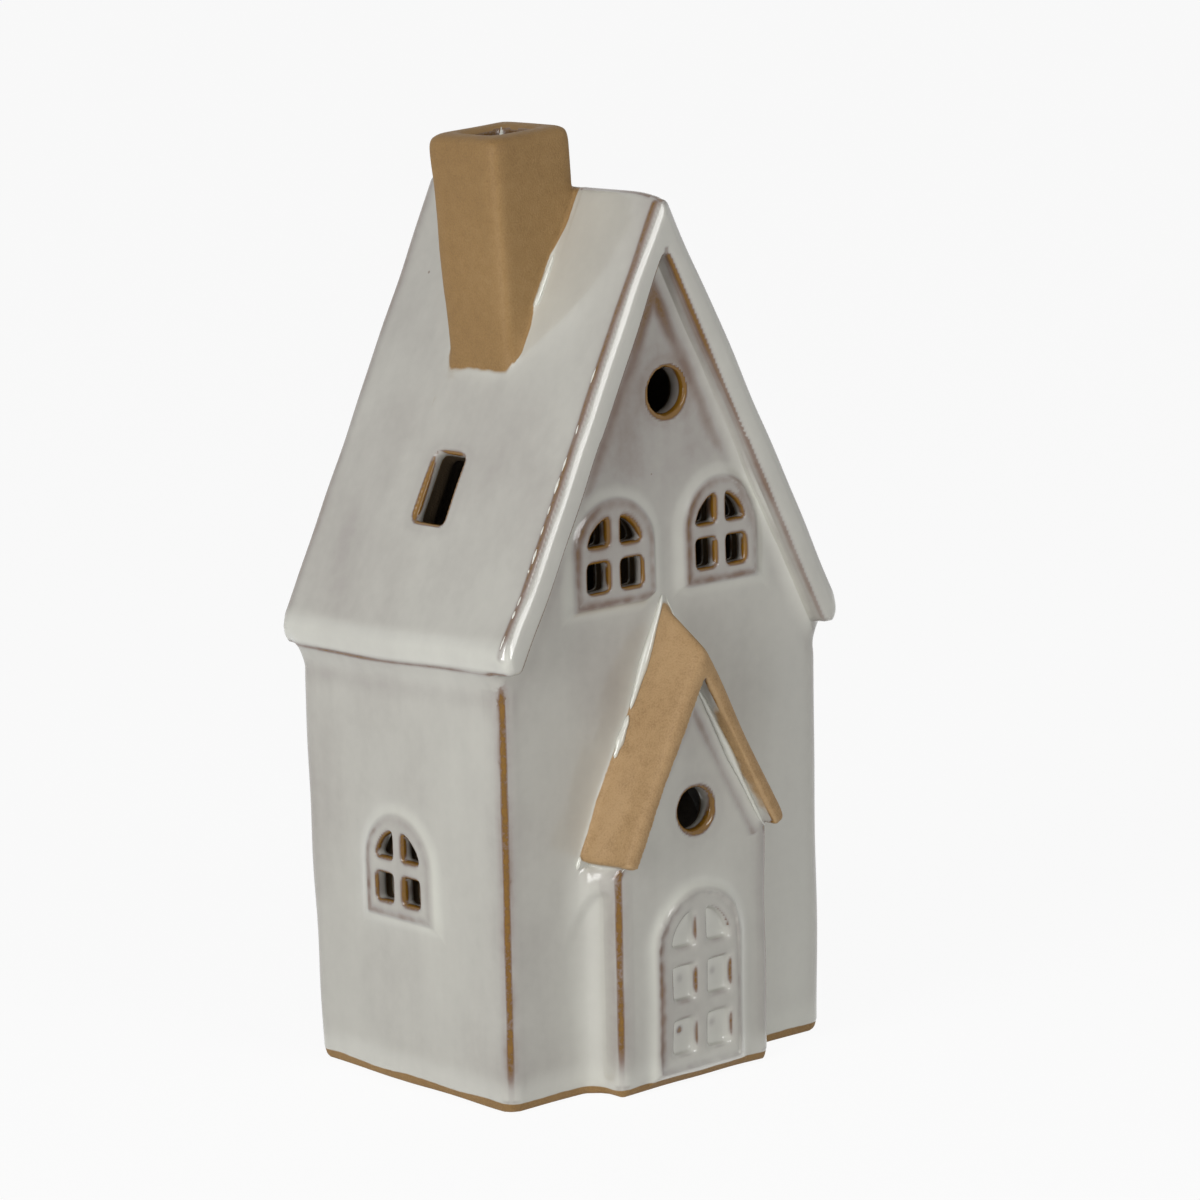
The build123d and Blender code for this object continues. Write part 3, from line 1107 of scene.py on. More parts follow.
        middle_y = (self.chimney_front + self.chimney_back) / 2
        over = self.over_roof(points)
        stack = smooth_step(over, -1.0, 2.0) * (x < 0.8) * (x > -26) * (np.abs(y - middle_y) < 12)
        stack = stack * np.clip((z - self.chimney_foot) / (self.chimney_top - self.chimney_foot), 0, 1)
        moved[:, 0] += (self.stack_spread * smooth_step(x, -12, -2) - self.lean) * stack
        moved[:, 1] += self.flare * (y - middle_y) * stack
        moved[:, 2] += self.tilt * (x - self.chimney_x) * stack * smooth_step(z, 165, 180)

        end = np.exp(-((x / 7) ** 2) - ((y + self.half_depth + 6) / 6) ** 2)
        moved[:, 2] -= self.ridge_drop * end * smooth_step(over, -4.0, 0.0)
        return moved

    def tucked(self, points: np.ndarray) -> np.ndarray:
        """Draws the foot in, as it is where the walls turn under.

        Args:
            points: points on the clay.

        Returns:
            The moved points.
        """
        x, y, z = points.T
        best, way = np.full(len(x), np.inf), np.zeros((len(x), 2))
        for centre, wide, deep in (
            (0.0, self.half_width, self.half_depth),
            (-self.half_depth, self.porch_half_width, self.porch_depth),
        ):
            reach = np.stack([np.abs(x) - wide, np.abs(y - centre) - deep], 1) + self.corner
            beyond = np.maximum(reach, 0)
            out = np.linalg.norm(beyond, axis=1) + np.minimum(reach.max(1), 0) - self.corner
            axis = np.where((reach[:, 0] > reach[:, 1])[:, None], (1.0, 0.0), (0.0, 1.0))
            lead = np.where(beyond.any(1)[:, None], beyond, axis)
            lead = lead / np.linalg.norm(lead, axis=1, keepdims=True)
            lead = lead * np.stack([np.sign(x), np.sign(y - centre)], 1)
            nearer = out < best
            best, way = np.where(nearer, out, best), np.where(nearer[:, None], lead, way)
        rise = np.clip(1 - z / self.tuck_height, 0, 1)
        inset = self.tuck_depth * (1 - np.sqrt(1 - rise**2)) * smooth_step(best, -5.0, -0.2)
        moved = points.copy()
        moved[:, :2] -= inset[:, None] * way
        return moved

    def bevelled(self, points: np.ndarray) -> np.ndarray:
        """Takes the arris off the verges.

        Args:
            points: points on the clay.

        Returns:
            The moved points, none of which lies beyond the bevel.
        """
        x, y, _ = points.T
        turn = math.radians(self.bevel_angle)
        over = self.over_roof(points)
        moved = points.copy()
        for side, reach in ((-1, self.verge_front), (1, self.verge_back)):
            beyond = math.cos(turn) * over + math.sin(turn) * (side * y - reach + self.bevel)
            push = np.where(side * y > reach - 3, np.maximum(beyond, 0), 0)
            moved[:, 0] -= push * math.cos(turn) * np.sign(x) * self.pitch / self.slope
            moved[:, 1] -= push * math.sin(turn) * side
            moved[:, 2] -= push * math.cos(turn) / self.slope
        return moved

    def bordered(self, points: np.ndarray) -> np.ndarray:
        """Slopes the raised panels' borders down to the wall.

        Args:
            points: points on the glazed clay.

        Returns:
            The moved points.
        """
        moved = points.copy()
        for arch in self.arches:
            _, out, side, offset = arch.face.value
            away, up = arch.distance(points), arch.heading(points)[1]
            height = side * points[:, out] - offset - self.glaze_depth
            width = arch.border * (0.6 + 0.4 * smooth_step(up, -0.5, 0.3))
            slope = arch.relief * (1 - away / width)
            raised = (height + slope + np.hypot(height - slope, 0.2)) / 2 - 0.05
            near = (away > -0.3) & (away < width + 0.4) & (np.abs(height) < 1.3) & (self.over_soffit(points) < -2.2)
            moved[:, out] += np.where(near, side * np.maximum(raised - height, 0), 0)
        return moved

    def over_soffit(self, points: np.ndarray) -> np.ndarray:
        """How far points lie above the roof's underside."""
        return (points[:, 2] - (self.under_ridge - self.pitch * np.abs(points[:, 0]))) / self.slope

    def over_roof(self, points: np.ndarray) -> np.ndarray:
        """How far points lie above the roof's upper side."""
        return (points[:, 2] - (self.ridge_height - self.pitch * np.abs(points[:, 0]))) / self.slope

    def over_porch(self, points: np.ndarray) -> np.ndarray:
        """How far points lie above the slopes of the porch's casing."""
        return (points[:, 2] - (self.porch_peak - self.porch_pitch * np.abs(points[:, 0]))) / self.porch_slope

    def off_panel(self, points: np.ndarray) -> np.ndarray:
        """How far points lie outside the nearest raised panel, negative on it."""
        return np.min([arch.distance(points) for arch in self.arches], 0)

    def off_flue(self, points: np.ndarray) -> np.ndarray:
        """How far points lie outside the flue's four faces, negative inside it."""
        across, along = np.abs(points[:, 0] - self.chimney_x), np.abs(points[:, 1] - self.flue_y)
        return np.maximum(across - self.flue_half_width, along - self.flue_half_depth)

    def rounded(self, points: np.ndarray) -> np.ndarray:
        """How much rounder than the rest the real edges are, from 0 to 1: verges, eaves, panels and bare clay."""
        x, y, z = points.T
        ends = np.maximum(smooth_step(-y, 31.6, 33.4), smooth_step(y, 30.6, 31.6))
        over = self.over_soffit(points)
        roof = smooth_step(over, -1.5, 0.0) * (1 - smooth_step(over, 1.2, 2.4))
        clay = smooth_step(self.bare(points), 0.3, 1.0) * self.outside(points) * (z > self.floor_height)
        rim = self.off_panel(points)
        panel = smooth_step(rim, -1.5, -0.7) * (1 - smooth_step(rim, 0.8, 2.0))
        eaves = 0.8 * smooth_step(np.abs(x), 42.0, 42.6)
        return np.maximum.reduce([0.5 * ends * roof, eaves, clay, 0.22 * panel])

    def gathering(self, points: np.ndarray) -> np.ndarray:
        """How readily glaze fills a hollow, from 0 to 1: little in the panes and on bare clay, none indoors."""
        rim = self.off_panel(points)
        open_wall = 0.15 + 0.85 * smooth_step(rim, -1.0, -0.2)
        above = smooth_step(self.over_soffit(points), 2.0, 4.0)
        clay = smooth_step(self.bare(points), -1.2, 0.0)
        return open_wall * (1 - 0.8 * above) * (1 - 0.75 * clay) * self.outside(points)

    def outside(self, points: np.ndarray) -> np.ndarray:
        """1 on the outer faces and 0 on the faces of the light chamber and the porch bay, whose low values the finish
        paints as shade.
        """
        x, y, z = np.abs(points[:, 0]), points[:, 1], points[:, 2]
        side = np.maximum(x - (self.half_width - self.wall), np.abs(y) - (self.half_depth - self.wall))
        chamber = np.maximum.reduce([side, self.over_soffit(points), self.floor_height - z])
        peak = self.porch_peak - self.porch_panel * self.porch_slope
        lid = (z - (peak - self.porch_pitch * x)) / self.porch_slope
        front = self.porch_panel - self.half_depth - self.porch_depth - y
        bay = np.maximum.reduce([x - (self.porch_half_width - self.porch_panel), lid, front, y, self.floor_height - z])
        open_air = smooth_step(np.minimum(chamber, bay), 0.6, 1.6)
        pane = np.min([arch.distance(points) for arch in self.arches[:3]], 0) < -1.0
        # In the panes it falls off with depth into the wall, so the painted shade deepens further in.
        open_air = np.where(pane, smooth_step(side, 1.8, self.wall + 0.6), open_air)
        # In the skylight's shaft it falls off with depth too: painted shade deeper in the shaft.
        deep = -self.over_roof(points)
        up = ((self.ridge_height - self.skylight_z) / self.pitch - x + self.pitch * (z - self.skylight_z)) / self.slope
        shaft = np.maximum(
            np.abs(y - self.skylight_y) - self.skylight_half_width, np.abs(up) - self.skylight_half_length
        )
        return np.where((shaft < 0.6) & (deep > -0.5), open_air * (1 - smooth_step(deep, 1.0, 2.6)), open_air)

    @staticmethod
    def waves(points: np.ndarray) -> np.ndarray:
        """Slow unevenness of a hand-finished surface, from about -1 to 1."""
        source = np.random.default_rng(7)
        total = np.zeros(len(points))
        for _ in range(14):
            way = source.normal(size=3)
            way *= 2 * np.pi / source.uniform(14, 42) / np.linalg.norm(way)
            total += np.sin(points @ way + source.uniform(0, 2 * np.pi))
        return total / 3

    def bare(self, points: np.ndarray) -> np.ndarray:
        """How deep a point lies in the clay that is left unglazed.

        Args:
            points: points on the clay.

        Returns:
            Depths, negative under the glaze, at most 3 either way.
        """
        x, y, z = points.T
        over = self.over_roof(points)
        beside = np.maximum(self.chimney_front - y, y - self.chimney_back)
        stack = np.where((x < 0.6) & (x > -24), np.minimum(over - 0.45, 0.7 - beside), -3)
        down = (self.ridge_height - z) / (self.ridge_height - self.chimney_foot)
        lip = 1.5 * (1 - smooth_step(down, 0.20, 0.42))
        lip = lip + 1.1 * smooth_step(down, 0.58, 0.75) * (1 - smooth_step(down, 0.86, 0.95))
        lip = lip - np.abs(self.chimney_front - y)
        stack = np.maximum(stack, np.where((x < 0.3) & (over > -1) & (down < 1.0), lip, -3))

        in_flue = (self.off_flue(points) < 0.35) & (z < self.chimney_top - 0.9)
        stack = np.where(in_flue, -3, stack)

        under = self.over_porch(points)
        along = (np.abs(x) + self.porch_pitch * (self.porch_peak - z)) / self.porch_slope
        hood = np.minimum.reduce([under + 0.25, -(self.half_depth + 0.5) - y, self.hood_length + 0.25 - along])
        hood_ridge = self.hood_back + (self.hood_front - self.hood_back) * (-self.half_depth - y) / self.hood_reach
        hood_top = hood_ridge - (hood_ridge - self.hood_eave_z) * np.abs(x) / self.hood_eave_x
        hood = np.minimum(hood, 0.8 - (z - hood_top) / self.porch_slope)
        hood = np.where((z < 100) & (np.abs(x) < 24), hood, -3)
        foot = self.foot - z + 0.25 * np.sin(x * 0.31 + 1) * np.cos(y * 0.27)
        chamber = 3 - 8 * self.outside(points)
        return np.clip(np.maximum.reduce([stack, hood, foot, chamber]), -3, 3)

    def marks(self, skin: Skin) -> dict[Mark, np.ndarray]:
        """Reads from the shape where the glaze is thin and where it gathers, with painted shade and painted light in a
        few places.

        Args:
            skin: the fired clay.

        Returns:
            A number for each point and mark.
        """
        points, normals = skin.points, skin.normals()
        x, y, z = points.T
        rim, over, outside = self.off_panel(points), self.over_soffit(points), self.outside(points)
        fine = skin.relaxed(points, 4)
        broad = skin.relaxed(fine, 50)
        sharp = skin.relaxed(((points - fine) * normals).sum(1), 1)
        hollow = ((broad - points) * normals).sum(1)
        flow = skin.relaxed(normals, 8)
        flow /= np.linalg.norm(flow, axis=1, keepdims=True)

        on_roof = smooth_step(over, -1.5, -0.5) * (np.abs(y) > 31)
        edge = np.clip((sharp - 0.05) / 0.05, 0, 1) * (1 - 0.8 * on_roof)
        squarely = self.facing(points, normals)
        panes = 0.85 * np.clip((sharp - 0.035) / 0.035, 0, 1) * (1 - 0.85 * smooth_step(squarely, 0.8, 0.97))
        on_door = self.arches[-1].distance(points) < 0
        panes *= np.where(on_door, 0.36 + 0.64 * smooth_step(-normals[:, 0], 0.02, 0.4), 1.0)
        edge = np.where(rim < -1.3, panes, np.where(rim < 2, 0, edge))
        drawn = (self.outlines(points), self.lines(points, flow), self.spots(points), self.rings(points))
        # Darker inside the flue: thinner glaze there, and painted shade in the flue.
        in_flue = (self.off_flue(points) < 0.2) * (z > 140) * (z < self.chimney_top - 0.5)
        edge = np.maximum.reduce([edge, *drawn, 0.55 * in_flue])

        pool = np.clip(skin.relaxed(hollow, 3) / 0.9, -0.12, 1.2) + 0.5 * (1 - smooth_step(z, 2.0, 8.0))
        # Towards the top of the front and back walls the glaze colour is darker: partly thinner lilac glaze, partly
        # painted shade under the roof's overhang.
        high = smooth_step(z, 50, 150) * (over < 0.5) * (np.abs(y) > 25)
        pool += 0.3 * smooth_step(x, 18, 34) * (over < -0.5) * (y < -28)
        pool += 0.3 * (over > 0.5) * (over < 5.2) * np.maximum(smooth_step(-y, 34, 34.8), smooth_step(y, 31.5, 32.3))
        # Paler on the left slope in front of the chimney: painted light that evens out the chimney's shadow and dark
        # reflection on the roof.
        pool += 0.35 * smooth_step(-y, 9, 13) * (1 - smooth_step(-y, 20, 33)) * smooth_step(z, 128, 150) * (x < 0)
        return {
            Mark.EDGE: edge * outside,
            Mark.POOL: pool - 0.5 * high - 0.14 * smooth_step(over, 3.0, 5.0) + 0.75 * self.eave_roll(points),
            Mark.RIM: self.halo(points),
            Mark.BARE: self.bare(points),
            Mark.INDOORS: 1 - outside,
        }

    def halo(self, points: np.ndarray) -> np.ndarray:
        """How far points lie outside the nearest panel, counted longer below it, where less glaze gathers."""
        found = [a.distance(points) * (1 + 0.35 * smooth_step(-a.heading(points)[1], 0.3, 0.9)) for a in self.arches]
        return np.min(found, 0)

    def facing(self, points: np.ndarray, normals: np.ndarray) -> np.ndarray:
        """How squarely points near a raised panel face out of the wall.

        Args:
            points: points on the clay.
            normals: their outward directions.

        Returns:
            1 on a panel's face, 0 on the reveals, and 0 away from the panels.
        """
        found = np.zeros(len(points))
        for arch in self.arches:
            _, out, side, _ = arch.face.value
            found = np.where(arch.distance(points) < arch.reach, side * normals[:, out], found)
        return found

    def outlines(self, points: np.ndarray) -> np.ndarray:
        """The thin glaze round the raised panels, from 0 to 1, thinnest at their left and below."""
        found = np.zeros(len(points))
        for arch in self.arches:
            left, up = arch.heading(points)
            weight = 0.17 + 0.2 * smooth_step(left, 0.3, 0.9) + 0.14 * smooth_step(-up, 0.5, 0.9)
            weight = weight - 0.06 * smooth_step(up, 0.4, 0.95)
            away = arch.distance(points) + 0.3
            found = np.maximum(found, weight * np.exp(-((away / np.where(away > 0, 0.5, 0.95)) ** 2)))
        return found * (1 + 0.18 * self.waves(points * 9))

    def eave_roll(self, points: np.ndarray) -> np.ndarray:
        """1 on the rounded lip of the eaves, where glaze has gathered before it dripped."""
        wide, z = np.abs(points[:, 0]), points[:, 2]
        return smooth_step(wide, 40.6, 42.2) * smooth_step(z, 84.0, 85.0) * (1 - smooth_step(z, 87.5, 92.0))

    def spots(self, points: np.ndarray) -> np.ndarray:
        """The thin places in the middle of the door's panes, from 0 to 1."""
        on_door = points[:, 1] < -self.half_depth - self.porch_depth + 1.2
        found = np.zeros(len(points))
        for x, z, radius, strength in self.door_spots:
            away = np.hypot(points[:, 0] - x, points[:, 2] - z)
            found = np.maximum(found, strength * (1 - smooth_step(away, 0.2, radius)))
        return found * on_door

    def rings(self, points: np.ndarray) -> np.ndarray:
        """The worn rims of the round vents, from 0 to 1, broader below."""
        found = np.zeros(len(points))
        for x, y, z, radius in self.vents:
            right, up = points[:, 0] - x, points[:, 2] - z
            away = np.hypot(right, up)
            broad = 0.55 - 0.35 * up / np.maximum(away, 0.1)
            ring = 1 - smooth_step(np.abs(away - radius - 0.15), 0.35 * broad, 1.25 * broad)
            found = np.maximum(found, ring * (np.abs(points[:, 1] - y) < 1.2))
        return found * 0.95

    def lines(self, points: np.ndarray, normals: np.ndarray) -> np.ndarray:
        """The long arrises, along which the glaze runs thin, with painted shade along the soffits and under the eaves.

        Args:
            points: points on the clay.
            normals: their outward directions.

        Returns:
            1 on the line of an arris, fading to 0 beside it.
        """
        x, y, z = points.T
        side, end, wide = np.sign(x), np.sign(y), np.abs(x)
        over = self.over_soffit(points)
        zero = np.zeros(len(x))
        slope = np.stack([side * self.pitch, zero, zero + 1], 1) / self.slope
        outward = np.stack([zero, end, zero], 1)
        verge = np.maximum(smooth_step(-y, 31.5, 33), smooth_step(y, 30.5, 31.5))
        front = smooth_step(-y, 0, 20)

        def line(way: np.ndarray, narrow: float, broad: float) -> np.ndarray:
            """1 where the surface faces this way, fading to 0 at the broad angle in degrees."""
            facing = (normals * way).sum(1) / np.linalg.norm(way, axis=1)
            return smooth_step(facing, math.cos(math.radians(broad)), math.cos(math.radians(narrow)))

        def arris(way: np.ndarray, narrow: float, broad: float) -> np.ndarray:
            """A line with a broad thin fringe."""
            return np.maximum(line(way, narrow, broad), 0.3 * line(way, broad / 2, broad * 2))

        dry = 0.3 + 0.7 * smooth_step(z, 3, 14)
        corner = arris(np.stack([side, end, zero], 1), 2, 22) * (over < 0) * (wide > 36) * (np.abs(y) > 26) * dry
        porch = arris(np.stack([side, zero - 1, zero], 1), 3, 26) * dry
        porch = porch * (wide < 21) * (wide > 16) * (y < -34) * (z < 47)
        behind = np.where(y < 0, self.verge_front + y, self.verge_back - y)
        rake = np.exp(-(((behind - 1.75) / 1.15) ** 2)) * line(slope * 0.92 + outward * 0.39, 20, 40) * (over > 2)
        ridge_end = line(np.stack([zero, 0.39 * end, zero + 0.92], 1), 6, 34) * verge * (wide < 7) * (z > 160)
        ridge = line(np.stack([zero, zero, zero + 1], 1), 3, 26) * (z > self.ridge_height - 4) * (wide < 6)
        # The line along the soffits is partly glaze broken thin at the arris and partly painted shade where the verge
        # overhangs the wall.
        soffit = np.where(x < 0, line(outward - slope, 4, 22), line(outward - slope, 8, 32))
        soffit = soffit * verge * (over < 2.5) * (over > -1)
        eave = 1 - smooth_step(np.hypot(wide - self.drip_x, z - self.drip_z), 0.15, 0.75)
        on_wall = (np.abs(y) > 28.5) & (np.abs(y) < 31.2) & (over < 0)
        fuzzy = np.where(x < 0, 0.24, 0.2) * (1 - 0.6 * smooth_step(wide, 20, 36))
        band = np.exp(-(((over + 3.6) / 1.5) ** 2)) * on_wall * (fuzzy + 0.3 * (1 - smooth_step(wide, 1, 7)))
        # Painted shade: a faint darker band on the side walls just under the eaves.
        under_eave = np.exp(-(((z - 78.6) / 2.2) ** 2)) * (wide > 39) * (np.abs(y) < 28) * 0.17
        apex = 1 - smooth_step(wide, 3, 16)
        under = self.over_porch(points)
        gable = np.exp(-(((under + 2.7) / 1.0) ** 2)) * (y < -37) * (y > -39.2) * (z > 46)
        return np.maximum.reduce(
            [
                corner * (0.3 + 0.5 * front) * np.where(x < 0, 1.0, 0.75),
                porch * np.where(x < 0, 0.72, 0.55),
                rake * (0.18 + 0.34 * front) * np.where(x < 0, 1.0, 0.5),
                ridge_end * (0.25 + 0.4 * front),
                ridge * 0.42,
                soffit * (0.12 + np.where(x < 0, 0.32, 0.1) * front + 0.22 * apex),
                gable * np.where(x < 0, 0.2, 0.34),
                eave * 0.6,
                band,
                under_eave,
            ]
        )

    def cells(self) -> dict[str, tuple[list[tuple[float, float]], float, float]]:
        """The room of each clay part, as an outline in x and z and its reach in y."""
        far, seam_z = self.far, self.under_ridge - self.seam * self.slope
        top = self.ridge_height + self.chimney_seam * self.slope
        drop_z = self.pitch * far
        inner_x = self.half_width - self.wall - self.inner_seam
        inner_y = self.half_depth - self.wall - self.inner_seam
        porch_y = -self.half_depth - self.porch_seam
        porch_z = self.porch_peak - 0.4 * self.porch_slope
        porch_drop = self.porch_pitch * far
        body = [(0, seam_z), (-far, seam_z - drop_z), (-far, -2 * far), (far, -2 * far), (far, seam_z - drop_z)]
        side_z = seam_z - self.pitch * inner_x
        left = [(-inner_x, side_z), (-far, seam_z - drop_z), (-far, -2 * far), (-inner_x, -2 * far)]
        sunk, porch_eave = -2 * far - 2, porch_z - porch_drop
        porch = [(0, porch_z), (-far, porch_eave), (-far, sunk), (far, sunk), (far, porch_eave)]
        reach = 70.0
        hood = [
            (0, porch_z),
            (-reach, porch_z - self.porch_pitch * reach),
            (-reach, seam_z - self.pitch * reach),
            (0, seam_z),
            (reach, seam_z - self.pitch * reach),
            (reach, porch_z - self.porch_pitch * reach),
        ]
        return {
            "floor_slab": ([(-inner_x, -far), (inner_x, -far), (inner_x, 40), (-inner_x, 40)], -inner_y, inner_y),
            "front_wall": (body, porch_y, -inner_y),
            "back_wall": (body, inner_y, far),
            "left_wall": (left, -inner_y, inner_y),
            "right_wall": ([(-x, z) for x, z in left], -inner_y, inner_y),
            "left_roof_slab": ([(0, seam_z), (0, top), (-far, top - drop_z), (-far, seam_z - drop_z)], -far, far),
            "right_roof_slab": ([(0, seam_z), (far, seam_z - drop_z), (far, 2 * far), (0, 2 * far)], -far, far),
            "chimney": ([(0, top), (0, 2 * far), (-far, 2 * far), (-far, top - drop_z)], -far, far),
            "porch_casing": (porch, -far, porch_y),
            "porch_roof": (hood, -far, porch_y),
        }

    @staticmethod
    def cut(whole: bpy.types.Object, room: bpy.types.Object) -> bpy.types.Mesh:
        """The share of the clay that lies in a room.

        Args:
            whole: the fired clay.
            room: the room, which is removed afterwards.

        Returns:
            A closed mesh, in millimetres.
        """
        clip = whole.modifiers.new("clip", "BOOLEAN")
        clip.operation = "INTERSECT"
        clip.solver = "MANIFOLD"
        clip.object = room
        mesh = solved(whole)
        whole.modifiers.remove(clip)
        drop(room)
        return mesh

    @staticmethod
    def dress(
        mesh: bpy.types.Mesh, origin: Origin, marks: dict[Mark, np.ndarray], normals: np.ndarray
    ) -> None:
        """Gives a cut piece the marks and the flow of the whole clay, and brings it to metres.

        Args:
            mesh: the piece.
            origin: the whole clay's points.
            marks: the whole clay's marks.
            normals: the whole clay's outward directions.
        """
        source, on_seam = origin.find(read(mesh.vertices, "co", 3))
        for mark, values in marks.items():
            keep(mesh, mark.value, values[source])
        corners = read(mesh.loops, "vertex_index", kind=np.int32)
        starts = read(mesh.polygons, "loop_start", kind=np.int32)
        totals = read(mesh.polygons, "loop_total", kind=np.int32)
        flat = read(mesh.polygons, "normal", 3)
        owner = np.repeat(np.arange(len(totals)), totals)
        inner = np.add.reduceat(on_seam[corners].astype(int), starts) == totals
        flow = np.where(inner[owner][:, None], flat[owner], normals[source[corners]])
        mesh.transform(Matrix.Scale(METRES, 4))
        mesh.polygons.foreach_set("use_smooth", np.ones(len(totals), bool))
        mesh.normals_split_custom_set(flow.tolist())


@dataclass(frozen=True)
class Run:
    """A line along which glaze has run together, in millimetres."""

    start: tuple[float, float, float]
    end: tuple[float, float, float]
    girth: float
    heavy: float = 0.5


@dataclass
class GlazeBeads:
    """Beads of glaze that have gathered along the edge of the bare clay."""

    house: ClayHouse
    runs: list[Run] = field(
        default_factory=lambda: [
            Run((-0.4, -30.6, 92.6), (-8.9, -30.6, 73.5), 0.98),
            Run((-9.4, -30.6, 72.4), (-12.8, -30.6, 65.1), 0.9),
            Run((-20.9, -30.6, 48.6), (-21.6, -30.6, 46.2), 0.60),
            Run((-7.0, -10.9, 158.9), (-11.7, -10.9, 149.6), 0.66, 0.9),
            Run((-6.3, 3.8, 182.2), (-6.6, 3.6, 175.0), 0.62, 0.3),
            Run((0.6, -30.6, 92.4), (15.5, -30.6, 59.5), 0.42),
            Run((0.9, -38.3, 76.8), (18.5, -38.3, 45.6), 0.72),
            Run((-1.2, -38.3, 76.2), (-18.5, -38.3, 45.6), 0.55),
        ]
    )
    rake_drops: int = 11
    rake_y: float = -33.5
    step: float = 0.35
    seed: int = 5

    def all_runs(self) -> list[Run]:
        """The long beads, and the small ones that follow the left verge.

        Returns:
            Every run.
        """
        source = np.random.default_rng(self.seed)
        found = list(self.runs)
        for share in np.linspace(0.0, 1.0, self.rake_drops):
            x = -17.0 - 24.0 * share**0.8 + source.uniform(-0.8, 0.8)
            reach = source.uniform(0.4, 1.5)
            y = self.rake_y + source.uniform(-0.25, 0.25)
            top = self.house.ridge_height + self.house.pitch * x
            found.append(
                Run((x, y, top), (x - reach, y, top - self.house.pitch * reach), source.uniform(0.16, 0.27))
            )
        return found

    def lines(self) -> bpy.types.Mesh:
        """The runs as lines on the clay, each point with its girth."""
        source = np.random.default_rng(self.seed + 1)
        points: list[np.ndarray] = []
        links: list[tuple[int, int]] = []
        girths: list[float] = []
        for run in self.all_runs():
            start, end = np.array(run.start), np.array(run.end)
            count = max(6, int(np.linalg.norm(end - start) / self.step))
            first = len(points)
            swell = np.interp(np.linspace(0, 1, count), np.linspace(0, 1, 7), source.uniform(0.62, 1.0, 7))
            for i in range(count):
                t = i / (count - 1)
                blunt = math.sqrt(max(1 - abs(2 * t - 1) ** 5, 0.01))
                weight = 0.75 + 0.5 * math.exp(-(((t - run.heavy) / 0.18) ** 2))
                girths.append(run.girth * blunt * weight * swell[i])
                place_at = self.house.settled((start + (end - start) * t)[None])[0]
                points.append(self.house.seat(place_at, 0.12 * run.girth))
            links += [(i, i + 1) for i in range(first, len(points) - 1)]
        mesh = bpy.data.meshes.new("bead_lines")
        mesh.from_pydata(self.evened(np.array(points), links), links, [])
        keep(mesh, "girth", np.array(girths))
        return mesh

    @staticmethod
    def evened(points: np.ndarray, links: list[tuple[int, int]]) -> list[list[float]]:
        """Takes the clay's fine steps out of the lines.

        Args:
            points: the lines' points.
            links: which points are neighbours.

        Returns:
            The points, each nearer to the middle of its neighbours.
        """
        pairs = np.array(links)
        ends = np.bincount(pairs.ravel(), minlength=len(points)) < 2
        for _ in range(60):
            middle = np.zeros_like(points)
            np.add.at(middle, pairs[:, 0], points[pairs[:, 1]] / 2)
            np.add.at(middle, pairs[:, 1], points[pairs[:, 0]] / 2)
            points = np.where(ends[:, None], points, 0.5 * points + 0.5 * middle)
        return points.tolist()

    def build(self, glaze: bpy.types.Material) -> None:
        """Grows the beads along their lines.

        Args:
            glaze: their finish.
        """
        grower = Grower("glaze_beads", {"Bead Size": 1.0, "Sides": 12})
        curve = grower.node("GeometryNodeMeshToCurve", {}, {"Mesh": grower.inputs["Geometry"]})
        girth = grower.node("GeometryNodeInputNamedAttribute", {"data_type": "FLOAT"}, {"Name": "girth"})
        sockets = {"Resolution": grower.size("Sides"), "Radius": grower.size("Bead Size")}
        ring = grower.node("GeometryNodeCurvePrimitiveCircle", {"mode": "RADIUS"}, sockets)
        sockets = {
            "Curve": curve.outputs[0],
            "Profile Curve": ring.outputs[0],
            "Scale": girth.outputs[0],
            "Fill Caps": True,
        }
        tube = grower.node("GeometryNodeCurveToMesh", {}, sockets)
        mesh = grower.grow(self.lines(), tube.outputs[0], glaze)
        gathered = {Mark.EDGE: 0.0, Mark.POOL: 1.0, Mark.RIM: 6.0, Mark.BARE: -3.0, Mark.INDOORS: 0.0}
        for mark, value in gathered.items():
            keep(mesh, mark.value, np.full(len(mesh.vertices), value))
        mesh.transform(Matrix.Scale(METRES, 4))
        hand_over(place("glaze_beads", mesh), Body.HOUSE, Slot.GLAZE)


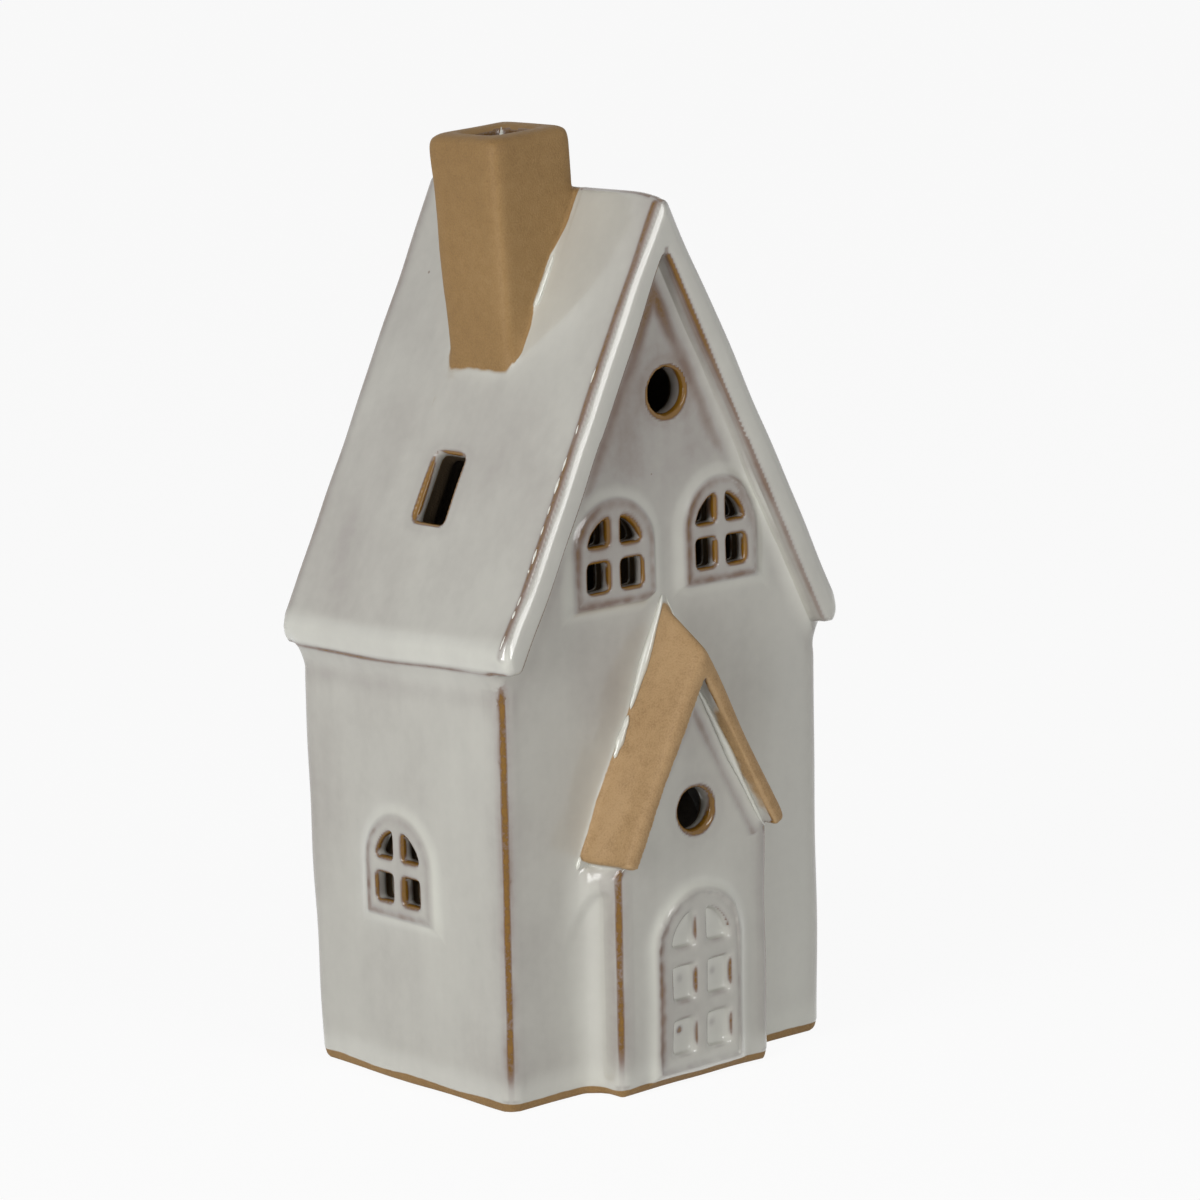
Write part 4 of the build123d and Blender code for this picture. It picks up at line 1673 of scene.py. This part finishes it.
@dataclass
class Tealight:
    """A tealight: pressed cup, wax, braided wick, and the steel foot that holds the wick."""

    nodes: dict[str, bpy.types.Object]
    base: float = 5.2
    foot_radius: float = 18.7
    mouth_radius: float = 19.2
    height: float = 15.5
    foil: float = 0.4
    rim: float = 0.45
    flutes: int = 44
    flute_depth: float = 0.24
    steps: int = 264
    wax_top: float = 12.4
    wax_sag: float = 0.3
    meniscus: float = 0.45
    wick_room: float = 1.0
    wick_foot: float = 0.8
    wick_top: float = 19.5
    strand: float = 0.46
    lay: float = 0.43
    twists: float = 4.5
    gap: float = 0.03

    def build(
        self,
        foil: bpy.types.Material,
        wax: bpy.types.Material,
        cotton: bpy.types.Material,
        steel: bpy.types.Material,
    ) -> None:
        """Makes the cup, the wax and the wick, and dresses the sustainer.

        Args:
            foil: the cup's finish.
            wax: the wax's finish.
            cotton: the wick's finish.
            steel: the sustainer's finish.
        """
        for name, profile, finish, slot in (
            ("tealight_cup", self.cup(), foil, Slot.ALUMINIUM),
            ("tealight_wax", self.wax(), wax, Slot.WAX),
        ):
            mesh = self.turned(f"{name}_shown", profile)
            mesh.materials.append(finish)
            self.stand(mesh)
            hand_over(place(mesh.name, mesh), Body.TEALIGHT, slot, name)
        mesh = self.wick(cotton)
        mesh.name = "tealight_wick_shown"
        self.stand(mesh)
        hand_over(place(mesh.name, mesh), Body.TEALIGHT, Slot.WICK, "tealight_wick")
        for slot in self.nodes["wick_sustainer"].material_slots:
            slot.material = steel
        LOG.info("wick_sustainer: dressed")

    def stand(self, mesh: bpy.types.Mesh) -> None:
        """Puts a mesh on the house's floor, in metres."""
        mesh.transform(Matrix.Scale(METRES, 4) @ Matrix.Translation((0, 0, self.base)))

    def side(self, z: float) -> float:
        """The cup's outer radius at a height."""
        return self.foot_radius + (self.mouth_radius - self.foot_radius) * z / self.height

    def flute_share(self, z: np.ndarray) -> np.ndarray:
        """How deep the flutes are at heights: 0 at the foot and the rim, and 1 between them."""
        return smooth_step(z, 1.4, 3.2) * (1 - smooth_step(z, self.height - 3.4, self.height - 1.2))

    def cup(self) -> list[tuple[float, float, float]]:
        """The cup's outline: radius, height and how deep the flutes are there."""
        tall = np.linspace(1.6, self.height - 1.2, 18)
        deep = self.flute_share(tall)
        outer = [(0.0, 0.0, 0.0), (12.0, 0.0, 0.0), (12.5, 0.25, 0.0), (16.4, 0.25, 0.0), (16.9, 0.0, 0.0)]
        outer += [(17.6, 0.0, 0.0), (18.2, 0.12, 0.0), (18.58, 0.45, 0.0), (self.side(0.9), 0.9, 0.0)]
        outer += [(self.side(z), z, d) for z, d in zip(tall, deep)]
        turns = np.radians(np.linspace(-75, 225, 16))
        roll = [
            (self.mouth_radius + self.rim * math.cos(a), self.height + self.rim * math.sin(a), 0.0) for a in turns
        ]
        inner = [(self.side(z) - self.foil, z, d) for z, d in zip(tall[::-1], deep[::-1])]
        inner += [(self.side(0.9) - self.foil, 0.95, 0.0), (18.0, 0.6, 0.0), (17.4, 0.42, 0.0)]
        inner += [(16.6, 0.42, 0.0), (16.2, 0.66, 0.0), (12.7, 0.66, 0.0), (12.3, 0.42, 0.0), (0.0, 0.4, 0.0)]
        return outer + roll + inner

    def wax(self) -> list[tuple[float, float, float]]:
        """The wax's outline, closed round the wick's room."""
        tall = np.linspace(1.6, self.wax_top, 12)
        deep = self.flute_share(tall)
        skirt = [(1.95, 0.86, 0.0), (6.6, 0.86, 0.0), (6.6, 0.72, 0.0), (15.6, 0.72, 0.0), (17.6, 0.8, 0.0)]
        skirt += [(self.side(1.0) - self.foil - self.gap, 1.1, 0.0)]
        wall = [(self.side(z) - self.foil - self.gap, z, d) for z, d in zip(tall, deep)]
        reach = self.side(self.wax_top) - self.foil - self.gap
        top: list[tuple[float, float, float]] = []
        for away in (0.06, 0.2, 0.45, 0.8, 1.4, 2.4, 4.0, 6.5, 9.5, 12.5, 14.6, 15.8, 16.5, 16.95, 17.25):
            radius = max(reach - away, self.wick_room)
            climb = math.exp(-away / 0.5) + 0.8 * math.exp(-(radius - self.wick_room) / 0.5)
            sag = self.wax_sag * (1 - (radius / reach) ** 2)
            fluted = float(deep[-1]) * max(1 - away / 1.5, 0.0)
            top.append((radius, self.wax_top - sag + self.meniscus * climb, fluted))
        bore = [(self.wick_room, self.wax_top - 1.0, 0.0), (self.wick_room, 4.5, 0.0), (1.95, 4.45, 0.0)]
        return skirt + wall + top + bore + skirt[:1]

    def turned(self, name: str, profile: list[tuple[float, float, float]]) -> bpy.types.Mesh:
        """Turns an outline round the upright axis, with flutes.

        Args:
            name: the mesh's name.
            profile: radius, height and flute share of each corner; the ends lie on the axis or on each other.

        Returns:
            A closed mesh with faces that point outwards.
        """
        made = bmesh.new()
        angles = np.linspace(0, 2 * np.pi, self.steps, endpoint=False)
        dent = self.flute_depth * (0.5 - 0.5 * np.cos(self.flutes * angles))
        rings = []
        for radius, z, share in profile:
            reach = radius - share * dent
            rings.append([made.verts.new((r * math.cos(a), r * math.sin(a), z)) for r, a in zip(reach, angles)])
        walls_between(made, rings)
        bmesh.ops.remove_doubles(made, verts=made.verts, dist=1e-5)
        bmesh.ops.dissolve_degenerate(made, edges=made.edges, dist=1e-5)
        bmesh.ops.recalc_face_normals(made, faces=made.faces)
        for face in made.faces:
            face.smooth = True
        mesh = bpy.data.meshes.new(name)
        made.to_mesh(mesh)
        made.free()
        return mesh

    def wick(self, cotton: bpy.types.Material) -> bpy.types.Mesh:
        """Grows the wick from strands that are laid round each other.

        Args:
            cotton: its finish.

        Returns:
            The wick's mesh, above the cup's base.
        """
        sizes: dict[str, float | int] = {"Strands": 3, "Sides": 10, "Points": 22, "Strand Radius": self.strand}
        sizes |= {"Lay Radius": self.lay, "Length": self.wick_top - self.wick_foot, "Twists": self.twists}
        grower = Grower("wick_braid", sizes)
        sockets = {
            "Resolution": grower.size("Points"),
            "Rotations": grower.size("Twists"),
            "Start Radius": grower.size("Lay Radius"),
            "End Radius": grower.size("Lay Radius"),
            "Height": grower.size("Length"),
        }
        lay = grower.node("GeometryNodeCurveSpiral", {}, sockets)
        sockets = {"Resolution": grower.size("Sides"), "Radius": grower.size("Strand Radius")}
        ring = grower.node("GeometryNodeCurvePrimitiveCircle", {"mode": "RADIUS"}, sockets)
        sockets = {"Curve": lay.outputs[0], "Profile Curve": ring.outputs[0], "Fill Caps": True}
        strand = grower.node("GeometryNodeCurveToMesh", {}, sockets)
        seats = grower.node("GeometryNodePoints", {}, {"Count": grower.size("Strands")})
        number = Value(grower, grower.node("GeometryNodeInputIndex").outputs[0])
        turn = number * (2 * math.pi) / grower.size("Strands")
        rotation = grower.node("ShaderNodeCombineXYZ", {}, {"Z": turn})
        sockets = {"Points": seats.outputs[0], "Instance": strand.outputs[0], "Rotation": rotation.outputs[0]}
        braid = grower.node("GeometryNodeInstanceOnPoints", {}, sockets)
        mesh = grower.grow(bpy.data.meshes.new("wick_start"), braid.outputs[0], cotton)
        mesh.transform(Matrix.Translation((0, 0, self.wick_foot)))
        return mesh


# ---------------------------------------------------------------------------------------------------- studio


def bearing(azimuth: float, elevation: float) -> Vector:
    """The direction from the house to a place round it.

    Args:
        azimuth: degrees, 0 in front of the house and negative to its left.
        elevation: degrees above the floor.

    Returns:
        A vector of length 1.
    """
    turn, rise = math.radians(azimuth), math.radians(elevation)
    return Vector((math.sin(turn) * math.cos(rise), -math.cos(turn) * math.cos(rise), math.sin(rise)))


@dataclass(frozen=True)
class SoftBox:
    """A lamp that faces the house, in metres and degrees."""

    name: str
    azimuth: float
    elevation: float
    distance: float
    width: float
    height: float
    watts: float
    aim: tuple[float, float, float] = (0.0, 0.0, 0.085)

    def build(self) -> None:
        """Adds the lamp."""
        lamp = bpy.data.lights.new(self.name, "AREA")
        lamp.shape = "RECTANGLE"
        lamp.size, lamp.size_y, lamp.energy = self.width, self.height, self.watts
        made = bpy.data.objects.new(self.name, lamp)
        back = bearing(self.azimuth, self.elevation)
        made.location = Vector(self.aim) + back * self.distance
        made.rotation_euler = back.to_track_quat("Z", "Y").to_euler()
        bpy.context.scene.collection.objects.link(made)


@dataclass(frozen=True)
class Studio:
    """The floor, the lamps, the surroundings and the camera, in metres and degrees."""

    azimuth: float = -40.81
    elevation: float = 10.46
    roll: float = -1.85
    distance: float = 0.90932
    aim: tuple[float, float, float] = (0.01128, -0.00012, 0.08822)
    lens: float = 138.0
    sensor: float = 36.0
    ambient: float = 0.18
    floor_reach: float = 6.0
    floor_colour: Colour = (0.86, 0.86, 0.86)
    floor_glow: float = 0.93
    lamps: tuple[SoftBox, ...] = (
        SoftBox("left_box", -78, 12, 0.95, 0.32, 0.75, 6.55),
        SoftBox("front_box", 0, 18, 1.0, 0.22, 0.5, 2.85),
    )

    def build(self) -> None:
        """Sets up everything round the object."""
        self.camera()
        self.surroundings()
        self.floor()
        for lamp in self.lamps:
            lamp.build()
        bpy.context.scene.view_settings.view_transform = "Standard"

    def camera(self) -> None:
        """The camera at the photograph's viewing angle."""
        turn, roll = math.radians(self.azimuth), math.radians(self.roll)
        back = bearing(self.azimuth, self.elevation)
        right = Vector((math.cos(turn), math.sin(turn), 0))
        up = back.cross(right)
        wide = right * math.cos(roll) + up * math.sin(roll)
        high = up * math.cos(roll) - right * math.sin(roll)
        data = bpy.data.cameras.new("camera")
        data.lens, data.sensor_width = self.lens, self.sensor
        data.clip_start, data.clip_end = 0.05, 50
        made = bpy.data.objects.new("camera", data)
        bpy.context.scene.collection.objects.link(made)
        placed = Matrix((wide, high, back)).transposed().to_4x4()
        placed.translation = Vector(self.aim) + back * self.distance
        made.matrix_world = placed
        bpy.context.scene.camera = made

    @staticmethod
    def seen(paint: Painter) -> Value:
        """1 for rays from the camera and for those that mirror or pass on what it sees."""
        path = paint.node("ShaderNodeLightPath")
        rays = [Value(paint, path.outputs[f"Is {kind} Ray"]) for kind in ("Camera", "Glossy", "Transmission")]
        return rays[0].most(rays[1]).most(rays[2])

    def surroundings(self) -> None:
        """A world that looks white and lights softly."""
        world = bpy.data.worlds.new("studio")
        bpy.context.scene.world = world
        world.use_nodes = True
        paint = Painter(world.node_tree)
        light = paint.node("ShaderNodeBackground", {}, {"Color": (1.0, 1.0, 1.0), "Strength": self.ambient})
        white = paint.node("ShaderNodeBackground", {}, {"Color": (1.0, 1.0, 1.0), "Strength": 1.0})
        mixed = paint.node("ShaderNodeMixShader", {}, {0: self.seen(paint), 1: light.outputs[0], 2: white.outputs[0]})
        paint.node("ShaderNodeOutputWorld", {}, {"Surface": mixed.outputs[0]})

    def floor(self) -> None:
        """A white floor that keeps the house's shadow."""
        sheet = bmesh.new()
        bmesh.ops.create_grid(sheet, x_segments=8, y_segments=8, size=self.floor_reach)
        mesh = bpy.data.meshes.new("floor")
        sheet.to_mesh(mesh)
        sheet.free()
        material, paint = new_material("studio_floor")
        matte = paint.node("ShaderNodeBsdfDiffuse", {}, {"Color": self.floor_colour})
        glow = paint.node("ShaderNodeEmission", {}, {"Color": (1.0, 1.0, 1.0), "Strength": 1.0})
        share = self.seen(paint) * self.floor_glow
        mixed = paint.node("ShaderNodeMixShader", {}, {0: share, 1: matte.outputs[0], 2: glow.outputs[0]})
        paint.node("ShaderNodeOutputMaterial", {}, {"Surface": mixed.outputs[0]})
        mesh.materials.append(material)
        place("floor", mesh)


def main() -> None:
    """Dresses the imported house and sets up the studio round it."""
    logging.basicConfig(level=logging.INFO, format="%(message)s")
    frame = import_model()
    Studio().build()
    glaze = Stoneware("glazed_stoneware").material()
    house = ClayHouse(frame["nodes"])
    house.build(
        glaze,
        Stoneware("chimney_clay").material(),
        Stoneware("porch_clay", clay=(0.375, 0.238, 0.112), clay_pale=(0.46, 0.31, 0.165)).material(),
    )
    GlazeBeads(house).build(glaze)
    Tealight(frame["nodes"]).build(
        Foil().material(), Paraffin().material(), Cotton().material(), TinnedSteel().material()
    )


if __name__ == "__main__":
    main()
